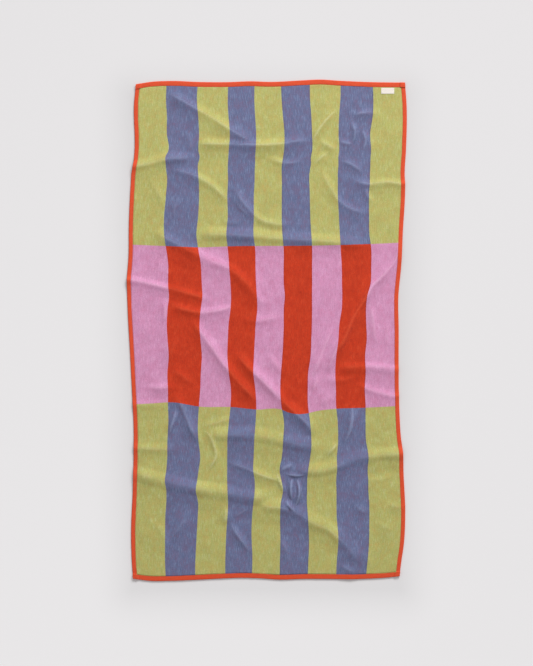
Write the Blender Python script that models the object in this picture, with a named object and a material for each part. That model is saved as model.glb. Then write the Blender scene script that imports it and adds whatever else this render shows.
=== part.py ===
"""A bath towel laid out flat on a table, with the ripples and lapped creases it settles in.

The towel is one rectangle of looped terry cloth. Two bindings are folded round its long sides
first. Two more are folded round its ends and lap over the side bindings at the corners. A small
woven label is sewn on near one corner.

The frame has X across the towel, Y along it and Z up, in metres. The underside of the flat cloth
is at z = 0. Tables are in millimetres, seen from above.
"""

import math
from typing import NamedTuple

import bpy
import numpy as np
from mathutils import Vector
from mathutils.geometry import delaunay_2d_cdt

MM = 0.001

# The slots' colours (linear red, green, blue) and roughness.
TERRY_COLOUR, TERRY_ROUGHNESS = (0.47, 0.46, 0.17), 0.95
BINDING_COLOUR, BINDING_ROUGHNESS = (0.66, 0.10, 0.04), 0.8
LABEL_COLOUR, LABEL_ROUGHNESS = (0.82, 0.80, 0.76), 0.7

# The towel as cut and sewn, in millimetres.
CLOTH_WIDTH = 762.0
CLOTH_LENGTH = 1397.0
CLOTH_THICK = 3.6
PRESSED_THICK = 1.4
BINDING_THICK = 0.8
SIDE_BINDING_WIDTH = 11.5
END_BINDING_WIDTH = 13.5
ROUNDING = 0.7
GAP = 0.3
LABEL_WIDTH = 36.0
LABEL_HEIGHT = 16.5
LABEL_THICK = 0.6
LABEL_CENTRE = (335.0, 666.5)

# One binding leg and its gap lift the cloth by this much.
LIFT = BINDING_THICK + GAP
# The pressed cloth swells to its full thickness over this width beside a binding.
SWELL = 2.4

# The spacing of the modelled points, in millimetres.
EDGE_STEP = 22.0
CREST_STEP = 17.0
CLOSEST = 8.0
FLAT_STEP = 38.0

# Folds combine by a power sum, which keeps crossing crests from adding up in full.
BLEND_POWER = 3.0
# A flank drops steeply near the crest and then trails off over this many times its width. The
# trailing part takes these shares of the height on the left and on the right.
TRAIL = 2.6
TRAIL_LEFT = 0.2
TRAIL_RIGHT = 0.5
# A crest fades out over this length at a free end, or over this share of a short crest. One that
# ends further across than the edge line runs off the towel and doesn't fade.
FREE_END = 60.0
FREE_SHARE = 0.45
EDGE_LINE = 385.0
# A fold's heights are read along its crest at this spacing.
CREST_READ_STEP = 5.0
# The sways of height and width along a crest: a turn's length divided by two pi, the depth, and
# the phase that each fold's number adds.
SHORT_SWAY, SHORT_DEPTH, SHORT_PHASE = 13.0, 0.09, 2.1
LONG_SWAY, LONG_DEPTH, LONG_PHASE = 29.0, 0.12, 1.3
WIDTH_SWAY, WIDTH_DEPTH, WIDTH_PHASE = 21.0, 0.06, 0.7
# The slope is read over this distance to each side.
SLOPE_REACH = 1.5
# Points lie on the crests, at this share of the flanks, and at their feet.
FLANK_LINES = (0, 0.55, 1.0)
# No free point is this close to the open cloth's rim, and none of the flats' points is closer to
# another than this share of their spacing.
RIM_MARGIN = 9.0
FLAT_CLEAR = 0.6
# The outline's box is measured on this many points of each edge.
OUTLINE_POINTS = 400
# Edges that turn by more than this are shaded sharp.
SHARP_DEGREES = 50


class EdgePoint(NamedTuple):
    """A point of the outline: its place along the edge and how far out the edge is there."""

    along: float
    out: float


class Fold(NamedTuple):
    """A raised fold: crest height, the widths of its two flanks, and the crest's points.

    Left and right are as seen by someone walking the crest from its first point. A crest that
    ends on the cloth fades out there. One that ends past the edge runs off it.
    """

    height: float
    left: float
    right: float
    crest: tuple


# The outline as laid. The long edges run from the bottom to the top, the ends from left to right.
LEFT_EDGE = (
    EdgePoint(-688, 372),
    EdgePoint(-640, 375.5),
    EdgePoint(-560, 377.5),
    EdgePoint(-431, 372.5),
    EdgePoint(-250, 371),
    EdgePoint(-164, 375.3),
    EdgePoint(-64, 380.3),
    EdgePoint(70, 387.5),
    EdgePoint(150, 388.9),
    EdgePoint(203, 385),
    EdgePoint(303, 383.6),
    EdgePoint(403, 379),
    EdgePoint(436, 376.7),
    EdgePoint(470, 370.6),
    EdgePoint(503, 368),
    EdgePoint(637, 369),
    EdgePoint(685, 364),
)
RIGHT_EDGE = (
    EdgePoint(-681, 368),
    EdgePoint(-631, 374.5),
    EdgePoint(-598, 379.5),
    EdgePoint(-514, 384),
    EdgePoint(-398, 379.5),
    EdgePoint(-331, 376.7),
    EdgePoint(-297, 372.2),
    EdgePoint(-231, 368.1),
    EdgePoint(-164, 366.1),
    EdgePoint(3, 365.8),
    EdgePoint(103, 365.3),
    EdgePoint(170, 371.7),
    EdgePoint(270, 377),
    EdgePoint(403, 383.6),
    EdgePoint(436, 382.5),
    EdgePoint(503, 386.1),
    EdgePoint(637, 387.3),
    EdgePoint(690, 383),
)
BOTTOM_EDGE = (
    EdgePoint(-372, 688),
    EdgePoint(-325, 694.2),
    EdgePoint(-270, 694.2),
    EdgePoint(-186, 690.6),
    EdgePoint(-131, 687.8),
    EdgePoint(-61, 685.7),
    EdgePoint(-19, 687.2),
    EdgePoint(36, 690.6),
    EdgePoint(92, 688.9),
    EdgePoint(286, 687.8),
    EdgePoint(342, 684.2),
    EdgePoint(368, 681),
)
TOP_EDGE = (
    EdgePoint(-364, 685),
    EdgePoint(-325, 691.7),
    EdgePoint(-270, 694.5),
    EdgePoint(-186, 691.6),
    EdgePoint(-103, 691.4),
    EdgePoint(-47, 693.6),
    EdgePoint(8, 691.9),
    EdgePoint(92, 695.8),
    EdgePoint(147, 698.3),
    EdgePoint(203, 695),
    EdgePoint(286, 691.4),
    EdgePoint(383, 690),
)

# The folds, from the top of the towel to its bottom.
FOLDS = (
    # The upper colour band.
    Fold(6.5, 17, 20, ((-286, 668), (-200, 618), (-151, 590), (-105, 560), (-62, 535), (-26, 517))),
    Fold(6.5, 15, 18, ((-210, 520), (-100, 518), (-30, 516), (46, 520), (100, 528), (130, 522))),
    Fold(6.5, 20, 16, ((-392, 453), (-344, 461), (-270, 478), (-189, 479))),
    Fold(4.5, 14, 16, ((-282, 456), (-250, 447), (-188, 425), (-151, 402), (-119, 373), (-95, 340))),
    Fold(5, 14, 16, ((-98, 414), (-66, 357), (-42, 330), (-17, 309), (20, 298), (80, 294))),
    Fold(4.5, 12, 14, ((222, 424), (280, 408), (338, 413), (395, 402))),
    Fold(4, 12, 14, ((146, 460), (175, 400), (200, 362), (236, 338), (290, 327))),
    # The change of colours above the middle, and the middle band.
    Fold(
        7.5, 24, 20,
        (
            (-215, 268), (-114, 267), (-38, 263), (46, 256), (125, 252), (199, 246), (290, 235),
        ),
    ),
    Fold(
        6.5, 20, 22,
        (
            (-326, 284), (-288, 262), (-225, 228), (-161, 196), (-105, 172), (-65, 140), (-30, 95),
            (-8, 58),
        ),
    ),
    Fold(5, 12, 14, ((-398, 146), (-327, 131), (-276, 119), (-198, 98), (-145, 84))),
    Fold(
        5, 12, 14,
        (
            (-276, 88), (-253, 68), (-216, 56), (-184, 51), (-151, 54), (-114, 62), (-72, 75),
        ),
    ),
    Fold(
        7, 22, 15,
        (
            (392, 275), (375, 239), (352, 190), (329, 162), (301, 130), (259, 60), (218, -10),
            (184, -70), (165, -125),
        ),
    ),
    Fold(
        7.5, 18, 15,
        (
            (-210, 44), (-195, 12), (-160, -35), (-130, -78), (-105, -110), (-80, -140), (-52, -170),
            (-20, -204),
        ),
    ),
    Fold(
        8, 20, 16,
        (
            (-96, -50), (-60, -92), (-20, -130), (15, -165), (50, -200), (85, -232), (115, -262),
            (132, -303),
        ),
    ),
    Fold(4.8, 15, 20, ((180, -108), (255, -100), (301, -100), (348, -107), (392, -114))),
    Fold(3.8, 12, 14, ((235, -138), (292, -166), (320, -174), (392, -190))),
    # The lower colour band.
    Fold(7, 9, 12, ((234, -190), (236, -240), (229, -278), (208, -320))),
    Fold(6.5, 18, 14, ((-272, -164), (-240, -200), (-222, -240), (-205, -280), (-180, -322))),
    Fold(
        7, 28, 22,
        (
            (-186, -290), (-124, -288), (-50, -288), (13, -298), (60, -308), (110, -318), (160, -329),
        ),
    ),
    Fold(4, 18, 16, ((-392, -324), (-300, -327), (-225, -331))),
    Fold(
        8, 26, 26,
        (
            (-384, -390), (-281, -418), (-216, -432), (-151, -445), (-110, -449), (-60, -460),
            (24, -462),
        ),
    ),
    Fold(4.5, 13, 12, ((-120, -360), (-60, -380), (-20, -398), (26, -415), (52, -432))),
    Fold(
        7, 24, 20,
        (
            (48, -388), (110, -388), (160, -385), (200, -373), (236, -359), (290, -347), (350, -342),
            (398, -343),
        ),
    ),
    Fold(9, 10, 9, ((79, -402), (80, -430), (80, -455), (73, -492))),
    Fold(
        7.5, 28, 20,
        (
            (-38, -466), (0, -486), (40, -490), (85, -505), (129, -532), (170, -550), (200, -575),
            (235, -612), (270, -655),
        ),
    ),
)


def smooth_curve(x, xs, ys):
    """A smooth curve through the points xs, ys, read at x (cubic pieces, central slopes)."""
    xs, ys = np.asarray(xs, float), np.asarray(ys, float)
    slopes = np.gradient(ys, xs)
    i = np.clip(np.searchsorted(xs, x) - 1, 0, len(xs) - 2)
    span = xs[i + 1] - xs[i]
    t = (x - xs[i]) / span
    return (
        (2 * t**3 - 3 * t**2 + 1) * ys[i]
        + (3 * t**2 - 2 * t**3) * ys[i + 1]
        + (t**3 - 2 * t**2 + t) * span * slopes[i]
        + (t**3 - t**2) * span * slopes[i + 1]
    )


def edge_line(edge, share):
    """The along and out places at a share (0 to 1) of an edge's length."""
    along = edge[0].along + share * (edge[-1].along - edge[0].along)
    return along, smooth_curve(along, [p.along for p in edge], [p.out for p in edge])


def laid(a, b):
    """Where the cloth point a mm from its left side and b mm from its bottom lies (x, y, in mm).

    The four edges are blended into the middle, so that each edge keeps its own curve.
    """
    u, v = a / CLOTH_WIDTH, b / CLOTH_LENGTH
    left_y, left_out = edge_line(LEFT_EDGE, v)
    right_y, right_out = edge_line(RIGHT_EDGE, v)
    bottom_x, bottom_out = edge_line(BOTTOM_EDGE, u)
    top_x, top_out = edge_line(TOP_EDGE, u)
    bl, br = BOTTOM_EDGE[0], BOTTOM_EDGE[-1]
    tl, tr = TOP_EDGE[0], TOP_EDGE[-1]
    corner_x = (1 - v) * ((1 - u) * bl.along + u * br.along) + v * ((1 - u) * tl.along + u * tr.along)
    corner_y = v * ((1 - u) * tl.out + u * tr.out) - (1 - v) * ((1 - u) * bl.out + u * br.out)
    x = u * right_out - (1 - u) * left_out + (1 - v) * bottom_x + v * top_x - corner_x
    y = (1 - u) * left_y + u * right_y + v * top_out - (1 - v) * bottom_out - corner_y
    return x, y


def outline_centre():
    """The middle of the laid outline's box, in mm."""
    share = np.linspace(0, 1, OUTLINE_POINTS)
    right, left = edge_line(RIGHT_EDGE, share)[1].max(), edge_line(LEFT_EDGE, share)[1].max()
    top, bottom = edge_line(TOP_EDGE, share)[1].max(), edge_line(BOTTOM_EDGE, share)[1].max()
    return (right - left) / 2, (top - bottom) / 2


def crest_line(fold, step):
    """Points every step mm or so along a fold's crest, and their share of its length."""
    knots = np.array(fold.crest, float)
    run = np.concatenate([[0], np.cumsum(np.linalg.norm(np.diff(knots, axis=0), axis=1))])
    at = np.linspace(0, run[-1], max(2, round(run[-1] / step)) + 1)
    return np.column_stack([smooth_curve(at, run, knots[:, k]) for k in (0, 1)]), at / run[-1]


def fade(share, length, crest):
    """The crest's height along its length: it rises and falls by an S-curve at each free end."""
    reach = min(FREE_END, FREE_SHARE * length) / length
    factor = np.ones_like(share)
    for end, gone in ((crest[0], share), (crest[-1], 1 - share)):
        runs_off = abs(end[0]) > EDGE_LINE
        t = np.clip(gone / reach, 0, 1)
        factor = factor * (1 if runs_off else t * t * (3 - 2 * t))
    return factor


def fold_height(fold, number, x, y):
    """The height that one fold adds at x, y.

    Across the crest each flank is a sum of two bumps of the form (1 - (n / w)^2)^2, n being the
    way from the crest: a steep one of the flank's width and a low one that trails further out.
    Along the crest the height and the width sway a little, each fold by its own number.
    """
    line, share = crest_line(fold, CREST_READ_STEP)
    start, way = line[:-1], np.diff(line, axis=0)
    length = np.linalg.norm(way, axis=1)
    px, py = x[:, None] - start[:, 0], y[:, None] - start[:, 1]
    t = np.clip((px * way[:, 0] + py * way[:, 1]) / length**2, 0, 1)
    dx, dy = px - t * way[:, 0], py - t * way[:, 1]
    k = np.argmin(dx**2 + dy**2, axis=1)
    row = np.arange(len(x))
    side = way[k, 0] * py[row, k] - way[k, 1] * px[row, k]
    distance = np.hypot(dx[row, k], dy[row, k])
    at = share[k] + t[row, k] * (share[k + 1] - share[k])
    run = at * length.sum()
    sway = 1 + SHORT_DEPTH * np.sin(run / SHORT_SWAY + SHORT_PHASE * number)
    sway = sway + LONG_DEPTH * np.sin(run / LONG_SWAY + LONG_PHASE * number)
    swing = 1 + WIDTH_DEPTH * np.sin(run / WIDTH_SWAY + WIDTH_PHASE * number + 1)
    width = np.where(side > 0, fold.left, fold.right) * swing
    trail = np.where(side > 0, TRAIL_LEFT, TRAIL_RIGHT)
    steep = np.clip(1 - (distance / width) ** 2, 0, 1) ** 2
    low = np.clip(1 - (distance / (TRAIL * width)) ** 2, 0, 1) ** 2
    across = (1 - trail) * steep + trail * low
    return fold.height * across * sway * fade(at, length.sum(), fold.crest)


def height(x, y):
    """How high the cloth's underside is at x, y (mm): 0 on the flats, a power sum of the folds."""
    x, y = np.atleast_1d(x).astype(float), np.atleast_1d(y).astype(float)
    total = np.zeros_like(x)
    for number, fold in enumerate(FOLDS):
        reach = 1.1 * TRAIL * max(fold.left, fold.right)
        low, high = np.min(fold.crest, axis=0) - reach, np.max(fold.crest, axis=0) + reach
        near = (x > low[0]) & (x < high[0]) & (y > low[1]) & (y < high[1])
        if near.any():
            total[near] += fold_height(fold, number, x[near], y[near]) ** BLEND_POWER
    return total ** (1 / BLEND_POWER)


def steepness(x, y):
    """How much taller than wide a slanted cloth is cut by an upright line: sqrt(1 + slope^2)."""
    d = SLOPE_REACH
    slope_x = (height(x + d, y) - height(x - d, y)) / (2 * d)
    slope_y = (height(x, y + d) - height(x, y - d)) / (2 * d)
    return np.sqrt(1 + slope_x**2 + slope_y**2)


# The cloth distances where the pressed edge begins, ends and has swollen to full thickness.
RAW_EDGE = BINDING_THICK + GAP
SIDE_LINES = (RAW_EDGE, SIDE_BINDING_WIDTH + GAP, SIDE_BINDING_WIDTH + GAP + SWELL)
END_LINES = (RAW_EDGE, END_BINDING_WIDTH + GAP, END_BINDING_WIDTH + GAP + SWELL)


def stations(length, lines):
    """The grid lines across the cloth: three at each edge and even steps between."""
    first, pressed, full = lines
    count = round((length - 2 * full) / EDGE_STEP)
    inner = np.linspace(full, length - full, count + 1)
    return np.concatenate([[first, pressed], inner, [length - pressed, length - first]])


def under(distance, lines):
    """1 inside a binding, 0 on the open cloth, and a ramp where the cloth swells."""
    return np.clip((lines[2] - distance) / (lines[2] - lines[1]), 0, 1)


def layers(a, b):
    """For a cloth point: its laid x and y, the fold's height, and how far it is under each binding.

    Across the bordering strip the fold keeps the height it has at the strip's inner line, so
    that the cloth and its bindings stay parallel.
    """
    side = under(np.minimum(a, CLOTH_WIDTH - a), SIDE_LINES)
    end = under(np.minimum(b, CLOTH_LENGTH - b), END_LINES)
    x, y = laid(a, b)
    inner_a = np.clip(a, SIDE_LINES[2], CLOTH_WIDTH - SIDE_LINES[2])
    inner_b = np.clip(b, END_LINES[2], CLOTH_LENGTH - END_LINES[2])
    return x, y, height(*laid(inner_a, inner_b)), side, end


def pressed_cloth(side, end):
    """The cloth's thickness: full on the open cloth and pressed thin inside the bindings."""
    return PRESSED_THICK + (CLOTH_THICK - PRESSED_THICK) * (1 - side) * (1 - end)


def add_object(name, points_mm, faces, colour, roughness):
    """Makes one mesh object from points in mm, centred on the outline, with its own material."""
    cx, cy = outline_centre()
    points = (np.asarray(points_mm, float) - (cx, cy, 0)) * MM
    mesh = bpy.data.meshes.new(name)
    mesh.from_pydata(points.tolist(), [], [list(map(int, face)) for face in faces])
    mesh.update()
    mesh.shade_smooth()
    mesh.set_sharp_from_angle(angle=math.radians(SHARP_DEGREES))
    material = bpy.data.materials.new(name)
    material.use_nodes = True
    shader = material.node_tree.nodes["Principled BSDF"]
    shader.inputs["Base Color"].default_value = (*colour, 1)
    shader.inputs["Roughness"].default_value = roughness
    shader.inputs["Metallic"].default_value = 0.0
    mesh.materials.append(material)
    thing = bpy.data.objects.new(name, mesh)
    bpy.context.scene.collection.objects.link(thing)
    return thing


def inner_points(rim):
    """The free points of the open cloth: along each fold's crest, flanks and feet, then the flats."""
    kept = [tuple(p) for p in rim]
    left, right = rim[:, 0].min(), rim[:, 0].max()
    bottom, top = rim[:, 1].min(), rim[:, 1].max()
    wanted = []
    for across in FLANK_LINES:
        for fold in FOLDS:
            line, _ = crest_line(fold, CREST_STEP)
            way = np.gradient(line, axis=0)
            way /= np.linalg.norm(way, axis=1)[:, None]
            normal = np.column_stack([-way[:, 1], way[:, 0]])
            for width in {fold.left * across, -fold.right * across}:
                wanted += [(p, CLOSEST) for p in line + normal * width]
    rows = np.arange(bottom + FLAT_STEP / 2, top, FLAT_STEP)
    for r, y in enumerate(rows):
        for x in np.arange(left + FLAT_STEP * (0.25 + 0.5 * (r % 2)), right, FLAT_STEP):
            wanted.append(((x, y), FLAT_CLEAR * FLAT_STEP))
    free = []
    placed = np.array(kept)
    for (x, y), clear in wanted:
        if not left + RIM_MARGIN < x < right - RIM_MARGIN:
            continue
        if not bottom + RIM_MARGIN < y < top - RIM_MARGIN:
            continue
        if np.hypot(placed[:, 0] - x, placed[:, 1] - y).min() < clear:
            continue
        free.append((x, y))
        placed = np.vstack([placed, (x, y)])
    return np.array(free)


def inside(points, loop):
    """Which points lie inside a closed loop (even-odd crossings)."""
    x, y = points[:, :1], points[:, 1:]
    x0, y0 = loop[:, 0], loop[:, 1]
    x1, y1 = np.roll(x0, -1), np.roll(y0, -1)
    spans = (y0 > y) != (y1 > y)
    rise = np.where(y1 == y0, 1, y1 - y0)
    return (spans & (x < (x1 - x0) * (y - y0) / rise + x0)).sum(axis=1) % 2 == 1


def build_cloth():
    """The terry cloth: a structured strip round its edges and a web of triangles on the folds."""
    a_lines, b_lines = stations(CLOTH_WIDTH, SIDE_LINES), stations(CLOTH_LENGTH, END_LINES)
    na, nb = len(a_lines), len(b_lines)
    a, b = (g.ravel() for g in np.meshgrid(a_lines, b_lines, indexing="ij"))
    i, j = (g.ravel() for g in np.meshgrid(np.arange(na), np.arange(nb), indexing="ij"))
    deep = (i > 2) & (i < na - 3) & (j > 2) & (j < nb - 3)
    index = -np.ones(na * nb, int)
    index[~deep] = np.arange((~deep).sum())
    index = index.reshape(na, nb)
    x, y, lift, side, end = layers(a[~deep], b[~deep])
    low = lift + LIFT * (side + end)
    thick = pressed_cloth(side, end)

    # The rim of the open cloth, counter-clockwise, starting at its lower left.
    rim = [index[k, 2] for k in range(2, na - 2)]
    rim += [index[na - 3, k] for k in range(3, nb - 2)]
    rim += [index[k, nb - 3] for k in range(na - 4, 1, -1)]
    rim += [index[2, k] for k in range(nb - 4, 2, -1)]
    loop = np.column_stack([x[rim], y[rim]])
    free = inner_points(loop)
    free = free[inside(free, loop)]
    flat = [Vector(p) for p in np.vstack([loop, free])]
    ring = [(k, (k + 1) % len(rim)) for k in range(len(rim))]
    made, _, faces, origin, _, _ = delaunay_2d_cdt(flat, ring, [], 1, 1e-4)
    first_free = len(x)
    number = [rim[o[0]] if o[0] < len(rim) else first_free + o[0] - len(rim) for o in origin]
    web = [[number[k] for k in face] for face in faces]

    rise = height(free[:, 0], free[:, 1])
    x, y = np.append(x, free[:, 0]), np.append(y, free[:, 1])
    low = np.append(low, rise)
    thick = np.append(thick, CLOTH_THICK * steepness(free[:, 0], free[:, 1]))
    for p in range(na - 1):
        for q in range(nb - 1):
            corners = [index[p, q], index[p + 1, q], index[p + 1, q + 1], index[p, q + 1]]
            on_strip = p < 2 or p > na - 4 or q < 2 or q > nb - 4
            if on_strip:
                web.append(corners)
    count = len(x)
    points = np.vstack([np.column_stack([x, y, low]), np.column_stack([x, y, low + thick])])
    faces = [[k + count for k in face] for face in web]
    faces += [face[::-1] for face in web]
    border = [index[k, 0] for k in range(na)]
    border += [index[na - 1, k] for k in range(1, nb)]
    border += [index[k, nb - 1] for k in range(na - 2, -1, -1)]
    border += [index[0, k] for k in range(nb - 2, 0, -1)]
    for p, q in zip(border, border[1:] + border[:1]):
        faces.append([p, q, q + count, p + count])
    return add_object("terry_cloth", points, faces, TERRY_COLOUR, TERRY_ROUGHNESS)


def binding_section(width, bottom, top):
    """A folded strip's section: how far in from the edge, and how high, counter-clockwise.

    Args: the strip's width, and the heights of its underside and its top, one per station.
    """
    one = np.ones_like(bottom)
    wall = BINDING_THICK
    return (
        (0 * one, bottom + ROUNDING),
        (ROUNDING * one, bottom),
        (width * one, bottom),
        (width * one, bottom + wall),
        (wall * one, bottom + wall),
        (wall * one, top - wall),
        (width * one, top - wall),
        (width * one, top),
        (ROUNDING * one, top),
        (0 * one, top - ROUNDING),
    )


def sweep(name, rings, flip):
    """Joins the section's lines (a list of point rows, one per section corner) into a closed strip."""
    rows, count = len(rings), len(rings[0])
    points = np.vstack(rings)
    faces = []
    for r in range(rows):
        nxt = (r + 1) % rows
        for k in range(count - 1):
            faces.append([r * count + k, r * count + k + 1, nxt * count + k + 1, nxt * count + k])
    for k, turn in ((0, 1), (count - 1, -1)):
        ring = [r * count + k for r in range(rows)]
        for trio in ((0, 1, 2, 3, 4), (5, 6, 7, 8, 9), (9, 0, 4, 5)):
            faces.append([ring[c] for c in trio][::turn])
    if flip:
        faces = [face[::-1] for face in faces]
    return add_object(name, points, faces, BINDING_COLOUR, BINDING_ROUGHNESS)


def build_side_binding(name, on_left):
    """A binding round a long side. Its ends run inside the end bindings, so it rises there."""
    b = stations(CLOTH_LENGTH, END_LINES)
    end = under(np.minimum(b, CLOTH_LENGTH - b), END_LINES)
    bottom = LIFT * end
    top = bottom + 2 * LIFT + PRESSED_THICK
    rings = []
    for inset, level in binding_section(SIDE_BINDING_WIDTH, bottom, top):
        a = inset if on_left else CLOTH_WIDTH - inset
        x, y, lift, _, _ = layers(a, b)
        rings.append(np.column_stack([x, y, level + lift]))
    return sweep(name, rings, not on_left)


def build_end_binding(name, at_bottom):
    """A binding round an end, the full width of the towel, lapping over both side bindings."""
    a = stations(CLOTH_WIDTH, SIDE_LINES)
    a[0], a[-1] = 0, CLOTH_WIDTH
    side = under(np.minimum(a, CLOTH_WIDTH - a), SIDE_LINES)
    bottom = np.zeros_like(a)
    top = 2 * LIFT + PRESSED_THICK + 2 * LIFT * side
    rings = []
    for inset, level in binding_section(END_BINDING_WIDTH, bottom, top):
        b = inset if at_bottom else CLOTH_LENGTH - inset
        x, y, lift, _, _ = layers(a, b)
        rings.append(np.column_stack([x, y, level + lift]))
    return sweep(name, rings, at_bottom)


def build_label():
    """The woven label, flat on the pile, its upper edge beside the top binding."""
    cx, cy = LABEL_CENTRE
    low = CLOTH_THICK + GAP
    xs = (cx - LABEL_WIDTH / 2, cx + LABEL_WIDTH / 2)
    ys = (cy - LABEL_HEIGHT / 2, cy + LABEL_HEIGHT / 2)
    points = [(x, y, z) for z in (low, low + LABEL_THICK) for y in ys for x in xs]
    faces = [(0, 2, 3, 1), (4, 5, 7, 6), (0, 1, 5, 4), (1, 3, 7, 5), (3, 2, 6, 7), (2, 0, 4, 6)]
    return add_object("label", points, faces, LABEL_COLOUR, LABEL_ROUGHNESS)


def main():
    """Clears the scene and builds the towel's six pieces."""
    for thing in list(bpy.data.objects):
        bpy.data.objects.remove(thing, do_unlink=True)
    build_cloth()
    build_side_binding("binding_left", True)
    build_side_binding("binding_right", False)
    build_end_binding("binding_bottom", True)
    build_end_binding("binding_top", False)
    build_label()


main()
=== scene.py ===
"""The looks of a bath towel laid out flat.

The towel is one piece of terry in broad lengthwise stripes, bound all round with a flat-woven
strip, with a bare woven label near one corner. It lies rippled on a pale floor under soft light
from beyond its upper end, seen from straight above.

Shapes are worked out in millimetres on the cloth itself: a runs across it from its left edge, b
along it from its bottom edge. Then they are laid out in plan (x, y) and lifted by the ripples.
"""

import logging
import math
from dataclasses import dataclass, field
from enum import Enum
from typing import NamedTuple, Sequence

import bpy
import numpy as np
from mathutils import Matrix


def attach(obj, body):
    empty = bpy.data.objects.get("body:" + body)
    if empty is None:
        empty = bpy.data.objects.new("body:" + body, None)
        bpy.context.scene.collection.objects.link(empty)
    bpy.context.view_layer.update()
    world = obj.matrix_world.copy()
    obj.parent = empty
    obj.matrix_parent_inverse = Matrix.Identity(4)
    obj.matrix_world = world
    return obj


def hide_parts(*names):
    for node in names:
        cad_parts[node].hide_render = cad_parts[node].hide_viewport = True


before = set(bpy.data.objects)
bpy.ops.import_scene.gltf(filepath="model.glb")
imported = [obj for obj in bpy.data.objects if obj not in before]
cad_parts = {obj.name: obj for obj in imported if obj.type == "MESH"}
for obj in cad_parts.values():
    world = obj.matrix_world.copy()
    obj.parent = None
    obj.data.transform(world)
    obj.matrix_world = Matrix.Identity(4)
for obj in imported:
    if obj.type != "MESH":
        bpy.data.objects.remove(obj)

MM = 0.001
LOG = logging.getLogger("towel")
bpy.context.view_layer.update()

Array = np.ndarray
Colour = tuple[float, float, float, float]
Triple = tuple[float, float, float]
Socket = bpy.types.NodeSocket

# The lattice of soft_noise: its cells each way, and a shift that keeps every place on it positive.
LATTICE_CELLS = 128
LATTICE_SHIFT_X, LATTICE_SHIFT_Y = 1000.37, 1000.61


class EdgePoint(NamedTuple):
    """A point of an edge or woven line: its place along it and how far out it is there, in mm."""

    along: float
    out: float


def edge(*pairs: tuple[float, float]) -> tuple[EdgePoint, ...]:
    """The points of one line, given as pairs of along and out."""
    return tuple(EdgePoint(*pair) for pair in pairs)


class Fold(NamedTuple):
    """A ripple: crest height, the widths of its flanks left and right of the walk, its crest line,
    and how creased the crest is, from 0, round, to 1, peaked."""

    height: float
    left: float
    right: float
    crest: tuple[tuple[float, float], ...]
    crease: float = 0.5


class Wave(NamedTuple):
    """A gentle sine along a crest: its depth, its run in mm for each radian, by how many radians
    it is turned on from one fold to the next, and where it starts."""

    depth: float
    run: float
    turn: float
    start: float = 0.0

    def at(self, run: Array, number: int) -> Array:
        """The depth times the sine of run over its own run, plus the fold's turn and the start."""
        return self.depth * np.sin(run / self.run + self.turn * number + self.start)


class Sway(NamedTuple):
    """How far the eight stripe edges lie right of their even places, at one height, in mm."""

    along: float
    edges: tuple[float, ...]


class Span(NamedTuple):
    """How values from low to high are carried to values from to_low to to_high."""

    low: float
    high: float
    to_low: float
    to_high: float


class Side(Enum):
    """The four edges of the towel."""

    LEFT = "left"
    RIGHT = "right"
    BOTTOM = "bottom"
    TOP = "top"

    @property
    def is_end(self) -> bool:
        """Whether this is one of the two short edges."""
        return self in (Side.BOTTOM, Side.TOP)


class Grain(NamedTuple):
    """A noise over the cloth: how many of its cells a millimetre holds across and along, its
    detail and its roughness."""

    across: float
    along: float
    detail: float = 2.0
    rough: float = 0.5


# The noises of the cloth's patterns, the first four of which make up the pile's loops.
STRAY_GRAIN = Grain(1.1, 0.9)
FIBRE_GRAIN = Grain(2.6, 1.7, rough=0.7)
LOOSE_GRAIN = Grain(1.15, 0.8, rough=0.6)
STREAK_GRAIN = Grain(0.34, 0.022, 3.0, 0.6)
SLUB_GRAIN = Grain(1.6, 0.12)
WIDE_GRAIN = Grain(0.022, 0.016)
SMALL_GRAIN = Grain(0.11, 0.075)
RAGGED_GRAIN = Grain(0.5, 0.3)
CLOUD_GRAIN = Grain(0.055, 0.035, 4.0, 0.65)
DASH_GRAIN = Grain(0.62, 0.1, rough=0.6)
TIP_GRAIN = Grain(0.6, 0.05, rough=0.6)

# The outline as laid. The long edges run from the bottom to the top, the ends from left to right.
LEFT_EDGE = edge(
    (-688, 372), (-640, 375.5), (-560, 377.5), (-431, 372.5), (-250, 371), (-164, 375.3),
    (-64, 380.3), (70, 387.5), (150, 388.9), (203, 385), (303, 383.6), (403, 379), (436, 376.7),
    (470, 370.6), (503, 368), (637, 369), (685, 364),
)
RIGHT_EDGE = edge(
    (-681, 368), (-631, 374.5), (-598, 379.5), (-514, 384), (-398, 379.5), (-331, 376.7),
    (-297, 372.2), (-231, 368.1), (-164, 366.1), (3, 365.8), (103, 365.3), (170, 371.7),
    (270, 377), (403, 383.6), (436, 382.5), (503, 386.1), (637, 387.3), (690, 383),
)
BOTTOM_EDGE = edge(
    (-372, 688), (-325, 694.2), (-270, 694.2), (-186, 690.6), (-131, 687.8), (-61, 685.7),
    (-19, 687.2), (36, 690.6), (92, 688.9), (286, 687.8), (342, 684.2), (368, 681),
)
TOP_EDGE = edge(
    (-364, 685), (-325, 691.7), (-270, 694.5), (-186, 691.6), (-103, 691.4), (-47, 693.6),
    (8, 691.9), (92, 695.8), (147, 698.3), (203, 695), (286, 691.4), (383, 690),
)

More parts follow.
